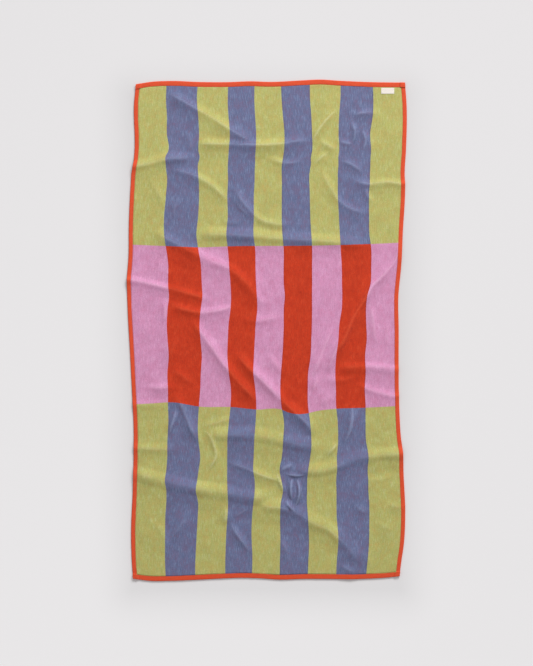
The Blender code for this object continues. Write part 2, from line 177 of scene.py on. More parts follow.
# How the stripe edges sway from one side to the other as the cloth lies, from the bottom up.
SWAYS = (
    Sway(-690, (-1, -7, -4, -3, 0, -1, 0, -1)),
    Sway(-635, (-1, -5, -4, -2, -2, -2, -2, -2)),
    Sway(-570, (0, -2, -3, -7, -4, -5, -4, -4)),
    Sway(-505, (-1, 0, 0, -6, -6, -10, -10, -5)),
    Sway(-480, (0, 0, 0, -4, -5, -12, -10, -5)),
    Sway(-440, (-1, -7, -2, 0, 2, -11, -9, -6)),
    Sway(-415, (-5, -4, -3, 0, -2, -10, -9, -5)),
    Sway(-385, (-2, 0, -3, -4, -7, -7, -6, -6)),
    Sway(-353, (0, 4, -3, -3, -1, -1, -6, -3)),
    Sway(-305, (1, 0, -1, 1, 6, 6, 2, -5)),
    Sway(-253, (5, 0, 5, 7, 11, 5, 4, -3)),
    Sway(-205, (6, 5, 12, 11, 5, 1, 1, -1)),
    Sway(-160, (8, 11, 15, 10, 4, 2, 2, -2)),
    Sway(-120, (8, 14, 11, 6, 7, 4, 1, 1)),
    Sway(-70, (14, 19, 8, 9, 12, 12, 4, 0)),
    Sway(-20, (13, 17, 11, 13, 16, 15, 11, 5)),
    Sway(15, (13, 16, 14, 16, 18, 17, 14, 4)),
    Sway(64, (18, 22, 22, 23, 20, 19, 23, 4)),
    Sway(97, (22, 27, 24, 22, 23, 19, 24, 7)),
    Sway(130, (20, 25, 22, 19, 19, 18, 21, 14)),
    Sway(180, (18, 20, 15, 14, 15, 14, 16, 12)),
    Sway(231, (9, 9, 8, 10, 12, 11, 10, 9)),
    Sway(264, (4, 4, 4, 5, 8, 8, 7, 3)),
    Sway(314, (2, 7, 6, 4, 4, 3, 2, -1)),
    Sway(380, (5, 7, 2, 1, 1, -2, -5, -5)),
    Sway(431, (5, 3, 2, 2, 0, -4, -5, -2)),
    Sway(465, (-3, -2, -2, 0, -2, -1, -5, -2)),
    Sway(483, (-6, 0, -3, -2, -1, -3, -7, -3)),
    Sway(498, (0, -4, -3, -2, 0, -1, -6, -3)),
    Sway(548, (-5, -4, -1, -2, 0, -3, -9, -7)),
    Sway(598, (-3, -5, -4, -4, -4, -5, -8, 0)),
    Sway(648, (-6, -9, -6, -6, -7, -8, -3, 3)),
    Sway(690, (-8, -9, -6, -6, -9, -8, -1, 4)),
)

# Where the colour bands change, in plan from left to right.
LOW_CHANGE = edge(
    (-380, -204), (-320, -201), (-260, -198), (-186, -210), (-100, -211), (-28, -218), (40, -218),
    (60, -226), (115, -228), (135, -223), (190, -216), (272, -213), (370, -208),
)
HIGH_CHANGE = edge(
    (-385, 240), (-290, 236), (-186, 232), (-100, 235), (60, 236), (200, 238), (300, 242),
    (370, 245),
)

# The main ripples, from the top of the towel to its bottom, as in the solids. Only the tuck near
# (80, -450) is a lower mound here, because the sharp creases among MINOR_FOLDS stand on it.
MAIN_FOLDS = (
    Fold(6.5, 17, 20, ((-286, 668), (-200, 618), (-151, 590), (-105, 560), (-62, 535), (-26, 517)), 0.9),
    Fold(6.5, 15, 18, ((-210, 520), (-100, 518), (-30, 516), (46, 520), (100, 528), (130, 522)), 0.8),
    Fold(6.5, 20, 16, ((-392, 453), (-344, 461), (-270, 478), (-189, 479)), 0.3),
    Fold(4.5, 14, 16, ((-282, 456), (-250, 447), (-188, 425), (-151, 402), (-119, 373), (-95, 340))),
    Fold(5, 14, 16, ((-98, 414), (-66, 357), (-42, 330), (-17, 309), (20, 298), (80, 294))),
    Fold(4.5, 12, 14, ((222, 424), (280, 408), (338, 413), (395, 402))),
    Fold(4, 12, 14, ((146, 460), (175, 400), (200, 362), (236, 338), (290, 327))),
    Fold(
        7.5, 24, 20,
        ((-215, 268), (-114, 267), (-38, 263), (46, 256), (125, 252), (199, 246), (290, 235)), 0.3,
    ),
    Fold(
        6.5, 20, 22,
        ((-326, 284), (-288, 262), (-225, 228), (-161, 196), (-105, 172), (-65, 140), (-30, 95),
         (-8, 58)),
    ),
    Fold(5, 12, 14, ((-398, 146), (-327, 131), (-276, 119), (-198, 98), (-145, 84))),
    Fold(5, 12, 14, ((-276, 88), (-253, 68), (-216, 56), (-184, 51), (-151, 54), (-114, 62), (-72, 75))),
    Fold(
        7, 22, 15,
        ((392, 275), (375, 239), (352, 190), (329, 162), (301, 130), (259, 60), (218, -10), (184, -70),
         (165, -125)), 0.9,
    ),
    Fold(
        7.5, 18, 15,
        ((-210, 44), (-195, 12), (-160, -35), (-130, -78), (-105, -110), (-80, -140), (-52, -170),
         (-20, -204)), 0.8,
    ),
    Fold(
        8, 20, 16,
        ((-96, -50), (-60, -92), (-20, -130), (15, -165), (50, -200), (85, -232), (115, -262),
         (132, -303)), 0.8,
    ),
    Fold(4.8, 15, 20, ((180, -108), (255, -100), (301, -100), (348, -107), (392, -114)), 0.2),
    Fold(3.8, 12, 14, ((235, -138), (292, -166), (320, -174), (392, -190))),
    Fold(7, 9, 12, ((234, -190), (236, -240), (229, -278), (208, -320)), 0.45),
    Fold(6.5, 18, 14, ((-272, -164), (-240, -200), (-222, -240), (-205, -280), (-180, -322)), 0.5),
    Fold(
        7, 28, 22,
        ((-186, -290), (-124, -288), (-50, -288), (13, -298), (60, -308), (110, -318), (160, -329)), 0.2,
    ),
    Fold(4, 18, 16, ((-392, -324), (-300, -327), (-225, -331))),
    Fold(
        8, 26, 26,
        ((-384, -390), (-281, -418), (-216, -432), (-151, -445), (-110, -449), (-60, -460),
         (24, -462)), 0.1,
    ),
    Fold(4.5, 13, 12, ((-120, -360), (-60, -380), (-20, -398), (26, -415), (52, -432)), 0.7),
    Fold(
        7, 24, 20,
        ((48, -388), (110, -388), (160, -385), (200, -373), (236, -359), (290, -347), (350, -342),
         (398, -343)), 0.2,
    ),
    Fold(4.5, 16, 12, ((77, -408), (80, -430), (80, -453), (75, -475), (67, -492)), 0.2),
    Fold(
        7.5, 28, 20,
        ((-38, -466), (0, -486), (40, -490), (85, -505), (129, -532), (170, -550), (200, -575),
         (235, -612), (270, -655)),
    ),
)

# The small creases between them.
MINOR_FOLDS = (
    Fold(3.5, 11, 13, ((-14, 496), (22, 474), (58, 467), (92, 474), (116, 490)), 0.5),
    Fold(5, 9, 9, ((120, 508), (133, 540), (148, 565), (170, 592), (200, 622)), 1.0),
    Fold(4.5, 10, 11, ((195, 475), (225, 467), (253, 450), (272, 434)), 0.6),
    Fold(3.5, 10, 12, ((140, 532), (171, 514), (196, 500))),
    Fold(3, 10, 12, ((190, 534), (218, 522), (246, 520))),
    Fold(3.5, 12, 14, ((225, 596), (285, 606), (320, 600))),
    Fold(3.5, 12, 12, ((262, 566), (283, 530), (289, 492))),
    Fold(3, 9, 10, ((126, 458), (148, 480), (170, 500)), 0.8),
    Fold(3, 12, 14, ((-85, 35), (-31, 27), (4, 33), (54, 45))),
    Fold(3, 14, 14, ((-246, 4), (-264, -55), (-276, -100))),
    Fold(3.5, 10, 14, ((-284, 98), (-282, 60), (-290, 10))),
    Fold(3, 12, 14, ((150, -133), (199, -137), (262, -125))),
    Fold(3.5, 12, 14, ((-268, -100), (-235, -125), (-202, -153))),
    Fold(3.5, 14, 16, ((-352, -158), (-276, -157), (-230, -153))),
    Fold(2.5, 16, 18, ((-392, -206), (-300, -205), (-262, -206))),
    Fold(6.5, 7, 7, ((-248, -203), (-253, -225), (-259, -247), (-267, -270), (-272, -296)), 1.0),
    Fold(
        5.5, 6, 6.5,
        ((-190, -270), (-161, -286), (-147, -317), (-141, -345), (-154, -373), (-168, -392)), 1.0,
    ),
    Fold(3, 12, 14, ((-200, -259), (-151, -258), (-120, -248), (-84, -228))),
    Fold(4.5, 8, 9, ((-110, -516), (-91, -550), (-72, -578), (-50, -608), (-36, -628)), 1.0),
    Fold(4, 16, 8, ((-112, -476), (-114, -510), (-118, -545))),
    Fold(2.5, 10, 12, ((-34, -478), (-72, -503), (-106, -522)), 0.4),
    Fold(3.8, 13, 13, ((197, 35), (172, -15), (147, -75), (125, -140)), 0.4),
    Fold(3.8, 14, 13, ((286, 98), (291, 50), (297, 0), (304, -54)), 0.3),
    Fold(
        8.5, 10, 7,
        ((336, 170), (325, 158), (289, 121), (273, 92), (238, 34), (211, -30), (188, -72)), 0.8,
    ),
    Fold(2.5, 12, 12, ((338, 40), (332, -10), (340, -60))),
    Fold(2.5, 10, 12, ((150, -120), (138, -140), (120, -172))),
    Fold(4.5, 8, 9, ((198, -304), (180, -330), (158, -354)), 0.9),
    Fold(2.5, 12, 12, ((184, -170), (168, -192), (150, -212))),
    Fold(4, 10, 10, ((34, -398), (46, -382), (80, -368))),
    Fold(9.5, 4.5, 5, ((50, -464), (58, -480), (67, -491), (77, -498), (88, -498)), 1.0),
    Fold(9.5, 5, 5, ((71, -404), (67, -427), (67, -450), (72, -478)), 1.0),
    Fold(11, 5, 4.5, ((81, -402), (88, -428), (88, -457), (80, -482), (70, -498)), 1.0),
    Fold(5, 12, 5, ((46, -392), (70, -400), (94, -400), (120, -390)), 0.2),
    Fold(5.5, 8, 5, ((26, -388), (32, -410), (42, -432), (50, -458)), 0.8),
    Fold(3, 12, 14, ((192, -640), (227, -662), (262, -674))),
    Fold(3, 12, 14, ((240, -484), (262, -496), (285, -508))),
    Fold(3, 16, 18, ((292, -534), (330, -545), (362, -556))),
    Fold(3, 16, 18, ((-275, -592), (-244, -546), (-208, -488))),
    Fold(2.5, 14, 16, ((-60, 330), (-90, 300), (-140, 310))),
    Fold(2.5, 14, 14, ((-330, 420), (-300, 380), (-290, 340))),
    Fold(5.5, 7, 7, ((232, 588), (244, 556), (238, 516)), 0.9),
    Fold(5, 7, 7, ((262, 566), (274, 532), (266, 496)), 0.9),
    Fold(3, 9, 9, ((240, 598), (262, 606), (286, 602)), 0.8),
    Fold(3.5, 8, 9, ((-26, 300), (-52, 322), (-84, 360), (-96, 402)), 0.5),
    Fold(3, 9, 10, ((-14, 168), (-26, 130), (-24, 92), (2, 66)), 0.7),
    Fold(2.8, 12, 12, ((-230, 560), (-212, 520), (-222, 488)), 0.1),
    Fold(3, 9, 10, ((290, 430), (276, 400), (286, 366), (312, 350)), 0.6),
    Fold(2.5, 12, 14, ((-240, 376), (-258, 336), (-250, 300)), 0.4),
    Fold(2.5, 12, 14, ((-10, -60), (22, -90), (40, -130)), 0.4),
    Fold(1.8, 12, 14, ((330, -470), (352, -486), (384, -494)), 0.4),
    Fold(1.8, 12, 14, ((250, -408), (300, -414), (356, -402)), 0.4),
    Fold(2.5, 14, 16, ((-330, -520), (-290, -560), (-270, -620)), 0.3),
    Fold(2.5, 12, 14, ((20, -560), (50, -600), (60, -650)), 0.3),
    Fold(2.5, 14, 16, ((300, -590), (280, -630), (300, -668)), 0.3),
)


def smooth_curve(x: Array, xs: Sequence[float], ys: Sequence[float]) -> Array:
    """A smooth curve through given points: cubic pieces that take the mean slope at each point.

    Args:
        x: Where to read the curve.
        xs: The points' places, rising.
        ys: The points' heights.

    Returns:
        The curve's heights at x.
    """
    xs, ys = np.asarray(xs, float), np.asarray(ys, float)
    slopes = np.gradient(ys, xs)
    i = np.clip(np.searchsorted(xs, x) - 1, 0, len(xs) - 2)
    span = xs[i + 1] - xs[i]
    t = (x - xs[i]) / span
    return (
        (2 * t**3 - 3 * t**2 + 1) * ys[i]
        + (3 * t**2 - 2 * t**3) * ys[i + 1]
        + (t**3 - 2 * t**2 + t) * span * slopes[i]
        + (t**3 - t**2) * span * slopes[i + 1]
    )


def smooth_step(t: Array) -> Array:
    """An S-shaped rise from 0 to 1: 3 t^2 - 2 t^3, held at its ends."""
    t = np.clip(t, 0, 1)
    return t * t * (3 - 2 * t)


def soft_noise(x: Array, y: Array, size_x: float, size_y: float, seed: int) -> Array:
    """Smooth noise from -1 to 1: random values on a lattice, blended by S-curves between them.

    Args:
        x, y: Where to read it, in mm.
        size_x, size_y: The lattice's spacing, in mm.
        seed: Which lattice.

    Returns:
        The noise at each point.
    """
    lattice = np.random.default_rng(seed).uniform(-1, 1, (LATTICE_CELLS, LATTICE_CELLS))
    px, py = x / size_x + LATTICE_SHIFT_X, y / size_y + LATTICE_SHIFT_Y
    i, j = np.floor(px).astype(int), np.floor(py).astype(int)
    u, v = smooth_step(px - i), smooth_step(py - j)
    i, j = i % LATTICE_CELLS, j % LATTICE_CELLS
    i1, j1 = (i + 1) % LATTICE_CELLS, (j + 1) % LATTICE_CELLS
    low = lattice[i, j] * (1 - u) + lattice[i1, j] * u
    high = lattice[i, j1] * (1 - u) + lattice[i1, j1] * u
    return low * (1 - v) + high * v


class Lumps(NamedTuple):
    """A soft noise: its depth, the size of its lumps across and along, in mm, and its seed."""

    depth: float
    across: float
    along: float
    seed: int

    def at(self, x: Array, y: Array) -> Array:
        """The depth times the noise at places in mm."""
        return self.depth * soft_noise(x, y, self.across, self.along, self.seed)


@dataclass(frozen=True)
class Outline:
    """The towel's edges as it lies, and the flat cloth laid out between them."""

    width: float = 762.0
    length: float = 1397.0
    left: tuple[EdgePoint, ...] = LEFT_EDGE
    right: tuple[EdgePoint, ...] = RIGHT_EDGE
    bottom: tuple[EdgePoint, ...] = BOTTOM_EDGE
    top: tuple[EdgePoint, ...] = TOP_EDGE
    samples: int = 400

    @staticmethod
    def edge(points: tuple[EdgePoint, ...], share: Array) -> tuple[Array, Array]:
        """The along and out places at a share (0 to 1) of an edge."""
        along = points[0].along + share * (points[-1].along - points[0].along)
        return along, smooth_curve(along, [p.along for p in points], [p.out for p in points])

    def laid(self, a: Array, b: Array) -> tuple[Array, Array]:
        """Where cloth points lie in plan: the four edge curves blended across the towel.

        Each point is the mean of the left and right edges by its share across, plus that of the
        bottom and top edges by its share along, less the same blend of the four corners.

        Args:
            a, b: Places on the cloth, in mm.

        Returns:
            Their x and y in plan, in mm.
        """
        u, v = a / self.width, b / self.length
        left_y, left_out = self.edge(self.left, v)
        right_y, right_out = self.edge(self.right, v)
        bottom_x, bottom_out = self.edge(self.bottom, u)
        top_x, top_out = self.edge(self.top, u)
        bl, br, tl, tr = self.bottom[0], self.bottom[-1], self.top[0], self.top[-1]
        low_x, high_x = (1 - u) * bl.along + u * br.along, (1 - u) * tl.along + u * tr.along
        low_y, high_y = (1 - u) * bl.out + u * br.out, (1 - u) * tl.out + u * tr.out
        corner_x, corner_y = (1 - v) * low_x + v * high_x, v * high_y - (1 - v) * low_y
        x = u * right_out - (1 - u) * left_out + (1 - v) * bottom_x + v * top_x - corner_x
        y = (1 - u) * left_y + u * right_y + v * top_out - (1 - v) * bottom_out - corner_y
        return x, y

    def centre(self) -> tuple[float, float]:
        """The middle of the outline's box in plan, which is the part's origin.

        Returns:
            Its x and y, in mm.
        """
        share = np.linspace(0, 1, self.samples)
        right, left, top, bottom = (
            self.edge(line, share)[1].max() for line in (self.right, self.left, self.top, self.bottom)
        )
        return (right - left) / 2, (top - bottom) / 2


@dataclass(frozen=True)
class Ripples:
    """The folds in which the cloth settled, and the height that they give it in plan.

    A flank's low part trails out to trail times its width, and makes up trail_left or trail_right
    of its height. edge_x is where a crest that ends further out runs off the towel.
    """

    folds: tuple[Fold, ...] = MAIN_FOLDS
    creases: tuple[Fold, ...] = MINOR_FOLDS
    power: float = 3.0
    crest_radius: float = 2.6
    peak_width: float = 1.3
    trail: float = 2.6
    trail_left: float = 0.2
    trail_right: float = 0.5
    margin: float = 1.1
    reach: float = 2.5
    free_end: float = 60.0
    free_share: float = 0.45
    edge_x: float = 385.0
    short_sway: Wave = Wave(0.09, 13, 2.1)
    long_sway: Wave = Wave(0.12, 29, 1.3)
    width_sway: Wave = Wave(0.06, 21, 0.7, 1)

    def crest(self, fold: Fold, step: float = 5.0) -> tuple[Array, Array]:
        """Points every few mm along a smooth curve through a fold's crest.

        Args:
            fold: The fold.
            step: About how far apart they are, in mm.

        Returns:
            The points in plan, and how far along the crest each is, from 0 to 1.
        """
        knots = np.array(fold.crest, float)
        run = np.concatenate([[0], np.cumsum(np.linalg.norm(np.diff(knots, axis=0), axis=1))])
        at = np.linspace(0, run[-1], max(2, round(run[-1] / step)) + 1)
        line = np.column_stack([smooth_curve(at, run, knots[:, k]) for k in (0, 1)])
        return line, at / run[-1]

    def fade(self, share: Array, length: float, fold: Fold) -> Array:
        """How much of the crest's height is left: it rises by an S-curve at each free end.

        Args:
            share: How far along the crest, from 0 to 1.
            length: The crest's length, in mm.
            fold: The fold.

        Returns:
            The factors, from 0 to 1.
        """
        reach = min(self.free_end, self.free_share * length) / length
        factor = np.ones_like(share)
        for end, gone in ((fold.crest[0], share), (fold.crest[-1], 1 - share)):
            if abs(end[0]) <= self.edge_x:
                factor = factor * smooth_step(gone / reach)
        return factor

    def one(self, fold: Fold, number: int, x: Array, y: Array) -> Array:
        """The height that one fold adds.

        Across the crest, n being the way from it and w the flank's width, each flank is the sum
        of a steep bump and a low one, (1 - (n / t)^2)^2, that trails further out. The steep one
        is mixed from a round one, (1 - (n / w)^2)^2, and a peaked one, (1 - m / c)^2 with
        m = sqrt(n^2 + r^2) - r, by how creased the fold is. Along the crest height and width
        sway a little, each fold by its own number.

        Args:
            fold: The fold.
            number: Its place in the table.
            x, y: Where to read it in plan, in mm.

        Returns:
            The heights, in mm.
        """
        line, share = self.crest(fold)
        start, way = line[:-1], np.diff(line, axis=0)
        length = np.linalg.norm(way, axis=1)
        px, py = x[:, None] - start[:, 0], y[:, None] - start[:, 1]
        t = np.clip((px * way[:, 0] + py * way[:, 1]) / length**2, 0, 1)
        dx, dy = px - t * way[:, 0], py - t * way[:, 1]
        k = np.argmin(dx**2 + dy**2, axis=1)
        row = np.arange(len(x))
        side = way[k, 0] * py[row, k] - way[k, 1] * px[row, k]
        distance = np.hypot(dx[row, k], dy[row, k])
        at = share[k] + t[row, k] * (share[k + 1] - share[k])
        run = at * length.sum()
        sway = 1 + self.short_sway.at(run, number) + self.long_sway.at(run, number)
        width = np.where(side > 0, fold.left, fold.right)
        width = width * (1 + self.width_sway.at(run, number))
        trail = np.where(side > 0, self.trail_left, self.trail_right)
        bent = np.sqrt(distance**2 + self.crest_radius**2) - self.crest_radius
        peaked = np.clip(1 - bent / (self.peak_width * width), 0, 1) ** 2
        round_top = np.clip(1 - (distance / width) ** 2, 0, 1) ** 2
        steep = round_top + fold.crease * (peaked - round_top)
        low = np.clip(1 - (distance / (self.trail * width)) ** 2, 0, 1) ** 2
        across = (1 - trail) * steep + trail * low
        return fold.height * across * sway * self.fade(at, length.sum(), fold)

    def height(self, x: Array, y: Array) -> Array:
        """The cloth's height over the floor: the power sum of all folds, 0 between them.

        Args:
            x, y: Where to read it in plan, in mm, of any one shape.

        Returns:
            The heights, in mm, of the same shape.
        """
        shape = np.shape(x)
        x, y = np.ravel(x), np.ravel(y)
        total = np.zeros_like(x, float)
        for number, fold in enumerate(self.folds + self.creases):
            reach = self.margin * self.trail * max(fold.left, fold.right)
            low, high = np.min(fold.crest, axis=0) - reach, np.max(fold.crest, axis=0) + reach
            near = (x > low[0]) & (x < high[0]) & (y > low[1]) & (y < high[1])
            if near.any():
                total[near] += self.one(fold, number, x[near], y[near]) ** self.power
        return (total ** (1 / self.power)).reshape(shape)

    def bends(self, x: Array, y: Array) -> tuple[Array, Array]:
        """How steep the cloth is and how strongly it bends over a crest.

        The steepness is sqrt(1 + slope^2), by which an upright cut through slanted cloth is
        longer. The bend is the height's fall to all four sides over the reach squared.

        Args:
            x, y: Where to read them in plan, in mm.

        Returns:
            The steepness, and the bend per mm, positive over a crest.
        """
        d = self.reach
        here = self.height(x, y)
        east, west = self.height(x + d, y), self.height(x - d, y)
        north, south = self.height(x, y + d), self.height(x, y - d)
        steep = np.sqrt(1 + ((east - west) ** 2 + (north - south) ** 2) / (4 * d * d))
        return steep, (4 * here - east - west - north - south) / d**2


@dataclass(frozen=True)
class Makeup:
    """How the towel is put together: thicknesses, binding widths and gaps, in mm."""

    outline: Outline = Outline()
    ripples: Ripples = Ripples()
    cloth: float = 3.6
    pressed: float = 1.4
    strip: float = 0.8
    side_width: float = 11.5
    end_width: float = 13.5
    gap: float = 0.3
    swell: float = 2.4

    @property
    def lift(self) -> float:
        """How far one binding leg and its gap lift the cloth."""
        return self.strip + self.gap

    @property
    def raw(self) -> float:
        """How far the cloth's raw edge lies inside the towel's edge."""
        return self.strip + self.gap

    def pressed_to(self, is_end: bool) -> float:
        """How far in from an edge the cloth is pressed flat by its binding."""
        return (self.end_width if is_end else self.side_width) + self.gap

    def under(self, distance: Array, is_end: bool) -> Array:
        """1 inside a binding, 0 on the open cloth, and a straight ramp over the swell between."""
        start = self.pressed_to(is_end)
        return np.clip((start + self.swell - distance) / self.swell, 0, 1)

    def shares(self, a: Array, b: Array) -> tuple[Array, Array]:
        """How far cloth points are under the side bindings and under the end bindings.

        Args:
            a, b: Places on the cloth, in mm.

        Returns:
            The two shares, from 0 to 1.
        """
        side = self.under(np.minimum(a, self.outline.width - a), False)
        end = self.under(np.minimum(b, self.outline.length - b), True)
        return side, end

    def plan(self, a: Array, b: Array) -> tuple[Array, Array, Array]:
        """Where cloth points lie, and the ripples' height there.

        Across the bordering strip a ripple keeps the height that it has at the strip's inner
        line, so that the cloth and its bindings stay parallel.

        Args:
            a, b: Places on the cloth, in mm.

        Returns:
            x and y in plan and the height, in mm.
        """
        x, y = self.outline.laid(a, b)
        side, end = self.pressed_to(False) + self.swell, self.pressed_to(True) + self.swell
        inner_a = np.clip(a, side, self.outline.width - side)
        inner_b = np.clip(b, end, self.outline.length - end)
        return x, y, self.ripples.height(*self.outline.laid(inner_a, inner_b))


class MeshMaker:
    """Turns arrays of points in mm into mesh objects at the part's origin."""

    sharp_degrees: float = 70.0

    def __init__(self, makeup: Makeup) -> None:
        """Takes the origin from the towel's outline."""
        self.centre = makeup.outline.centre()

    def make(self, name: str, points: Array, faces: list[Array], uv: Array) -> bpy.types.Object:
        """Makes one smooth-shaded object.

        Args:
            name: The piece's name.
            points: Its points in mm, one row each.
            faces: Arrays of corner numbers, each of its own count of corners.
            uv: The cloth place of each point, in metres, for the patterns.

        Returns:
            The new object, at the origin.
        """
        points = (points - np.array([*self.centre, 0.0])) * MM
        mesh = bpy.data.meshes.new(name)
        corners = np.concatenate([g.ravel() for g in faces]).astype(np.int32)
        sizes = np.concatenate([np.full(len(g), g.shape[1]) for g in faces])
        starts = np.concatenate([[0], np.cumsum(sizes)[:-1]]).astype(np.int32)
        mesh.vertices.add(len(points))
        mesh.vertices.foreach_set("co", points.astype(np.float32).ravel())
        mesh.loops.add(len(corners))
        mesh.loops.foreach_set("vertex_index", corners)
        mesh.polygons.add(len(sizes))
        mesh.polygons.foreach_set("loop_start", starts)
        mesh.update(calc_edges=True)
        layer = mesh.uv_layers.new(name="cloth")
        layer.uv.foreach_set("vector", uv[corners].astype(np.float32).ravel())
        mesh.validate()
        mesh.shade_smooth()
        mesh.set_sharp_from_angle(angle=math.radians(self.sharp_degrees))
        piece = bpy.data.objects.new(name, mesh)
        bpy.context.scene.collection.objects.link(piece)
        return piece


def grid_faces(index: Array) -> Array:
    """The quads of a grid of numbers, facing up where its first axis is x and its second y."""
    corners = [index[:-1, :-1], index[1:, :-1], index[1:, 1:], index[:-1, 1:]]
    return np.stack(corners, -1).reshape(-1, 4)


def rim_of(index: Array) -> Array:
    """The point numbers round a grid's border, counter-clockwise seen from above."""
    return np.concatenate([index[:-1, 0], index[-1, :-1], index[:0:-1, -1], index[0, :0:-1]])


def tube_faces(index: Array, mirrored: bool) -> list[Array]:
    """The quads round many small tubes, and the flat faces at their ends.

    Args:
        index: Point numbers: tube, ring along it, point round the ring.
        mirrored: Whether the rings run the other way round.

    Returns:
        The quads and the end faces.
    """
    turned = np.concatenate([index, index[:, :, :1]], axis=2)
    corners = [turned[:, :-1, :-1], turned[:, 1:, :-1], turned[:, 1:, 1:], turned[:, :-1, 1:]]
    quads = np.stack(corners, -1).reshape(-1, 4)
    ends = np.concatenate([index[:, 0, ::-1], index[:, -1]])
    return [f[:, ::-1] for f in (quads, ends)] if mirrored else [quads, ends]


def stitch_radius(s: Array, thread: float) -> Array:
    """Half the thread times sqrt(sin(pi t)), t going from 0.04 to 0.96 as s goes from 0 to 1."""
    return thread / 2 * np.sqrt(np.sin(math.pi * (0.04 + 0.92 * s)))


class Graph:
    """Adds nodes to a shader or group tree and joins them."""

    def __init__(self, tree: bpy.types.NodeTree) -> None:
        """Works on the given tree."""
        self.tree = tree

    def node(self, kind: str, **settings: object) -> bpy.types.Node:
        """Adds a node and sets its properties.

        Args:
            kind: The node's type.
            settings: Its properties, by name.

        Returns:
            The node.
        """
        made = self.tree.nodes.new(kind)
        for name, value in settings.items():
            setattr(made, name, value)
        return made

    def put(self, socket: Socket, value: object) -> None:
        """Links a socket into an input, or sets the input's own value.

        Args:
            socket: The input.
            value: An output socket, or a number, triple or colour.
        """
        if isinstance(value, Socket):
            self.tree.links.new(value, socket)
        else:
            socket.default_value = value

    def fill(self, made: bpy.types.Node, *values: object) -> Socket:
        """Fills a node's inputs in turn.

        Args:
            made: The node.
            values: A socket or value for each input.

        Returns:
            The node's first output.
        """
        for socket, value in zip(made.inputs, values):
            self.put(socket, value)
        return made.outputs[0]

    def math(self, operation: str, *values: object) -> Socket:
        """A Math node over sockets or numbers."""
        return self.fill(self.node("ShaderNodeMath", operation=operation), *values)

    def vector(self, operation: str, *values: object) -> Socket:
        """A Vector Math node over sockets or triples."""
        return self.fill(self.node("ShaderNodeVectorMath", operation=operation), *values)

    def split(self, value: Socket, kind: str = "XYZ") -> Sequence[Socket]:
        """The three parts of a vector or of a colour.

        Args:
            value: The vector or colour.
            kind: XYZ for a vector, Color for a colour.

        Returns:
            The parts.
        """
        made = self.node(f"ShaderNodeSeparate{kind}")
        self.put(made.inputs[0], value)
        return made.outputs

    def mix(self, factor: object, first: object, second: object, blend: str = "MIX") -> Socket:
        """A colour mix.

        Args:
            factor: How far it goes from the first colour to the second, 0 to 1.
            first, second: The colours.
            blend: How the second meets the first.

        Returns:
            The mixed colour.
        """
        made = self.node("ShaderNodeMix", data_type="RGBA", blend_type=blend)
        self.put(made.inputs[0], factor)
        self.put(made.inputs[6], first)
        self.put(made.inputs[7], second)
        return made.outputs[2]

    def shaded(self, colour: Socket, factor: Socket) -> Socket:
        """A colour times one factor."""
        tint = self.fill(self.node("ShaderNodeCombineColor"), factor, factor, factor)
        return self.mix(1.0, colour, tint, "MULTIPLY")

    def span(self, value: Socket, over: Span) -> Socket:
        """A value carried from one span to another and held at its ends."""
        return self.fill(self.node("ShaderNodeMapRange"), value, *over)

    def noise(self, places: Socket, grain: Grain, output: str = "Fac") -> Socket:
        """A noise over the cloth.

        Args:
            places: The cloth places, in mm.
            grain: The noise's cells, detail and roughness.
            output: Fac for one value, Color for three.

        Returns:
            The noise.
        """
        made = self.node("ShaderNodeTexNoise")
        scale = (grain.across, grain.along, 0.0)
        self.put(made.inputs["Vector"], self.vector("MULTIPLY", places, scale))
        made.inputs["Scale"].default_value = 1.0
        made.inputs["Detail"].default_value = grain.detail
        made.inputs["Roughness"].default_value = grain.rough
        return made.outputs[output]

    def bump(self, height: Socket, strength: float, distance: float) -> Socket:
        """A fine relief.

        Args:
            height: The height at each place.
            strength: How much of it shows.
            distance: What a height of 1 stands for, in metres.

        Returns:
            The relief's normal.
        """
        made = self.node("ShaderNodeBump")
        made.inputs["Strength"].default_value = strength
        made.inputs["Distance"].default_value = distance
        self.put(made.inputs["Height"], height)
        return made.outputs[0]

    def group(self, tree: bpy.types.NodeTree, **values: object) -> bpy.types.Node:
        """Places a node group and fills its inputs.

        Args:
            tree: The group.
            values: A socket or value for each input, by name.

        Returns:
            The group's node.
        """
        made = self.node("ShaderNodeGroup", node_tree=tree)
        for name, value in values.items():
            self.put(made.inputs[name], value)
        return made


def new_group(
    name: str, inputs: dict[str, str], outputs: dict[str, str]
) -> tuple[Graph, dict[str, Socket], dict[str, Socket]]:
    """Starts a node group.

    Args:
        name: The group's name.
        inputs, outputs: Each socket's name and kind, such as Float, Color or Vector.

    Returns:
        The group's graph, its input sockets and its output sockets, by name.
    """
    tree = bpy.data.node_groups.new(name, "ShaderNodeTree")
    for way, sockets in (("INPUT", inputs), ("OUTPUT", outputs)):
        for label, kind in sockets.items():
            tree.interface.new_socket(label, in_out=way, socket_type=f"NodeSocket{kind}")
    graph = Graph(tree)
    entry, leave = graph.node("NodeGroupInput"), graph.node("NodeGroupOutput")
    return graph, {k: entry.outputs[k] for k in inputs}, {k: leave.inputs[k] for k in outputs}


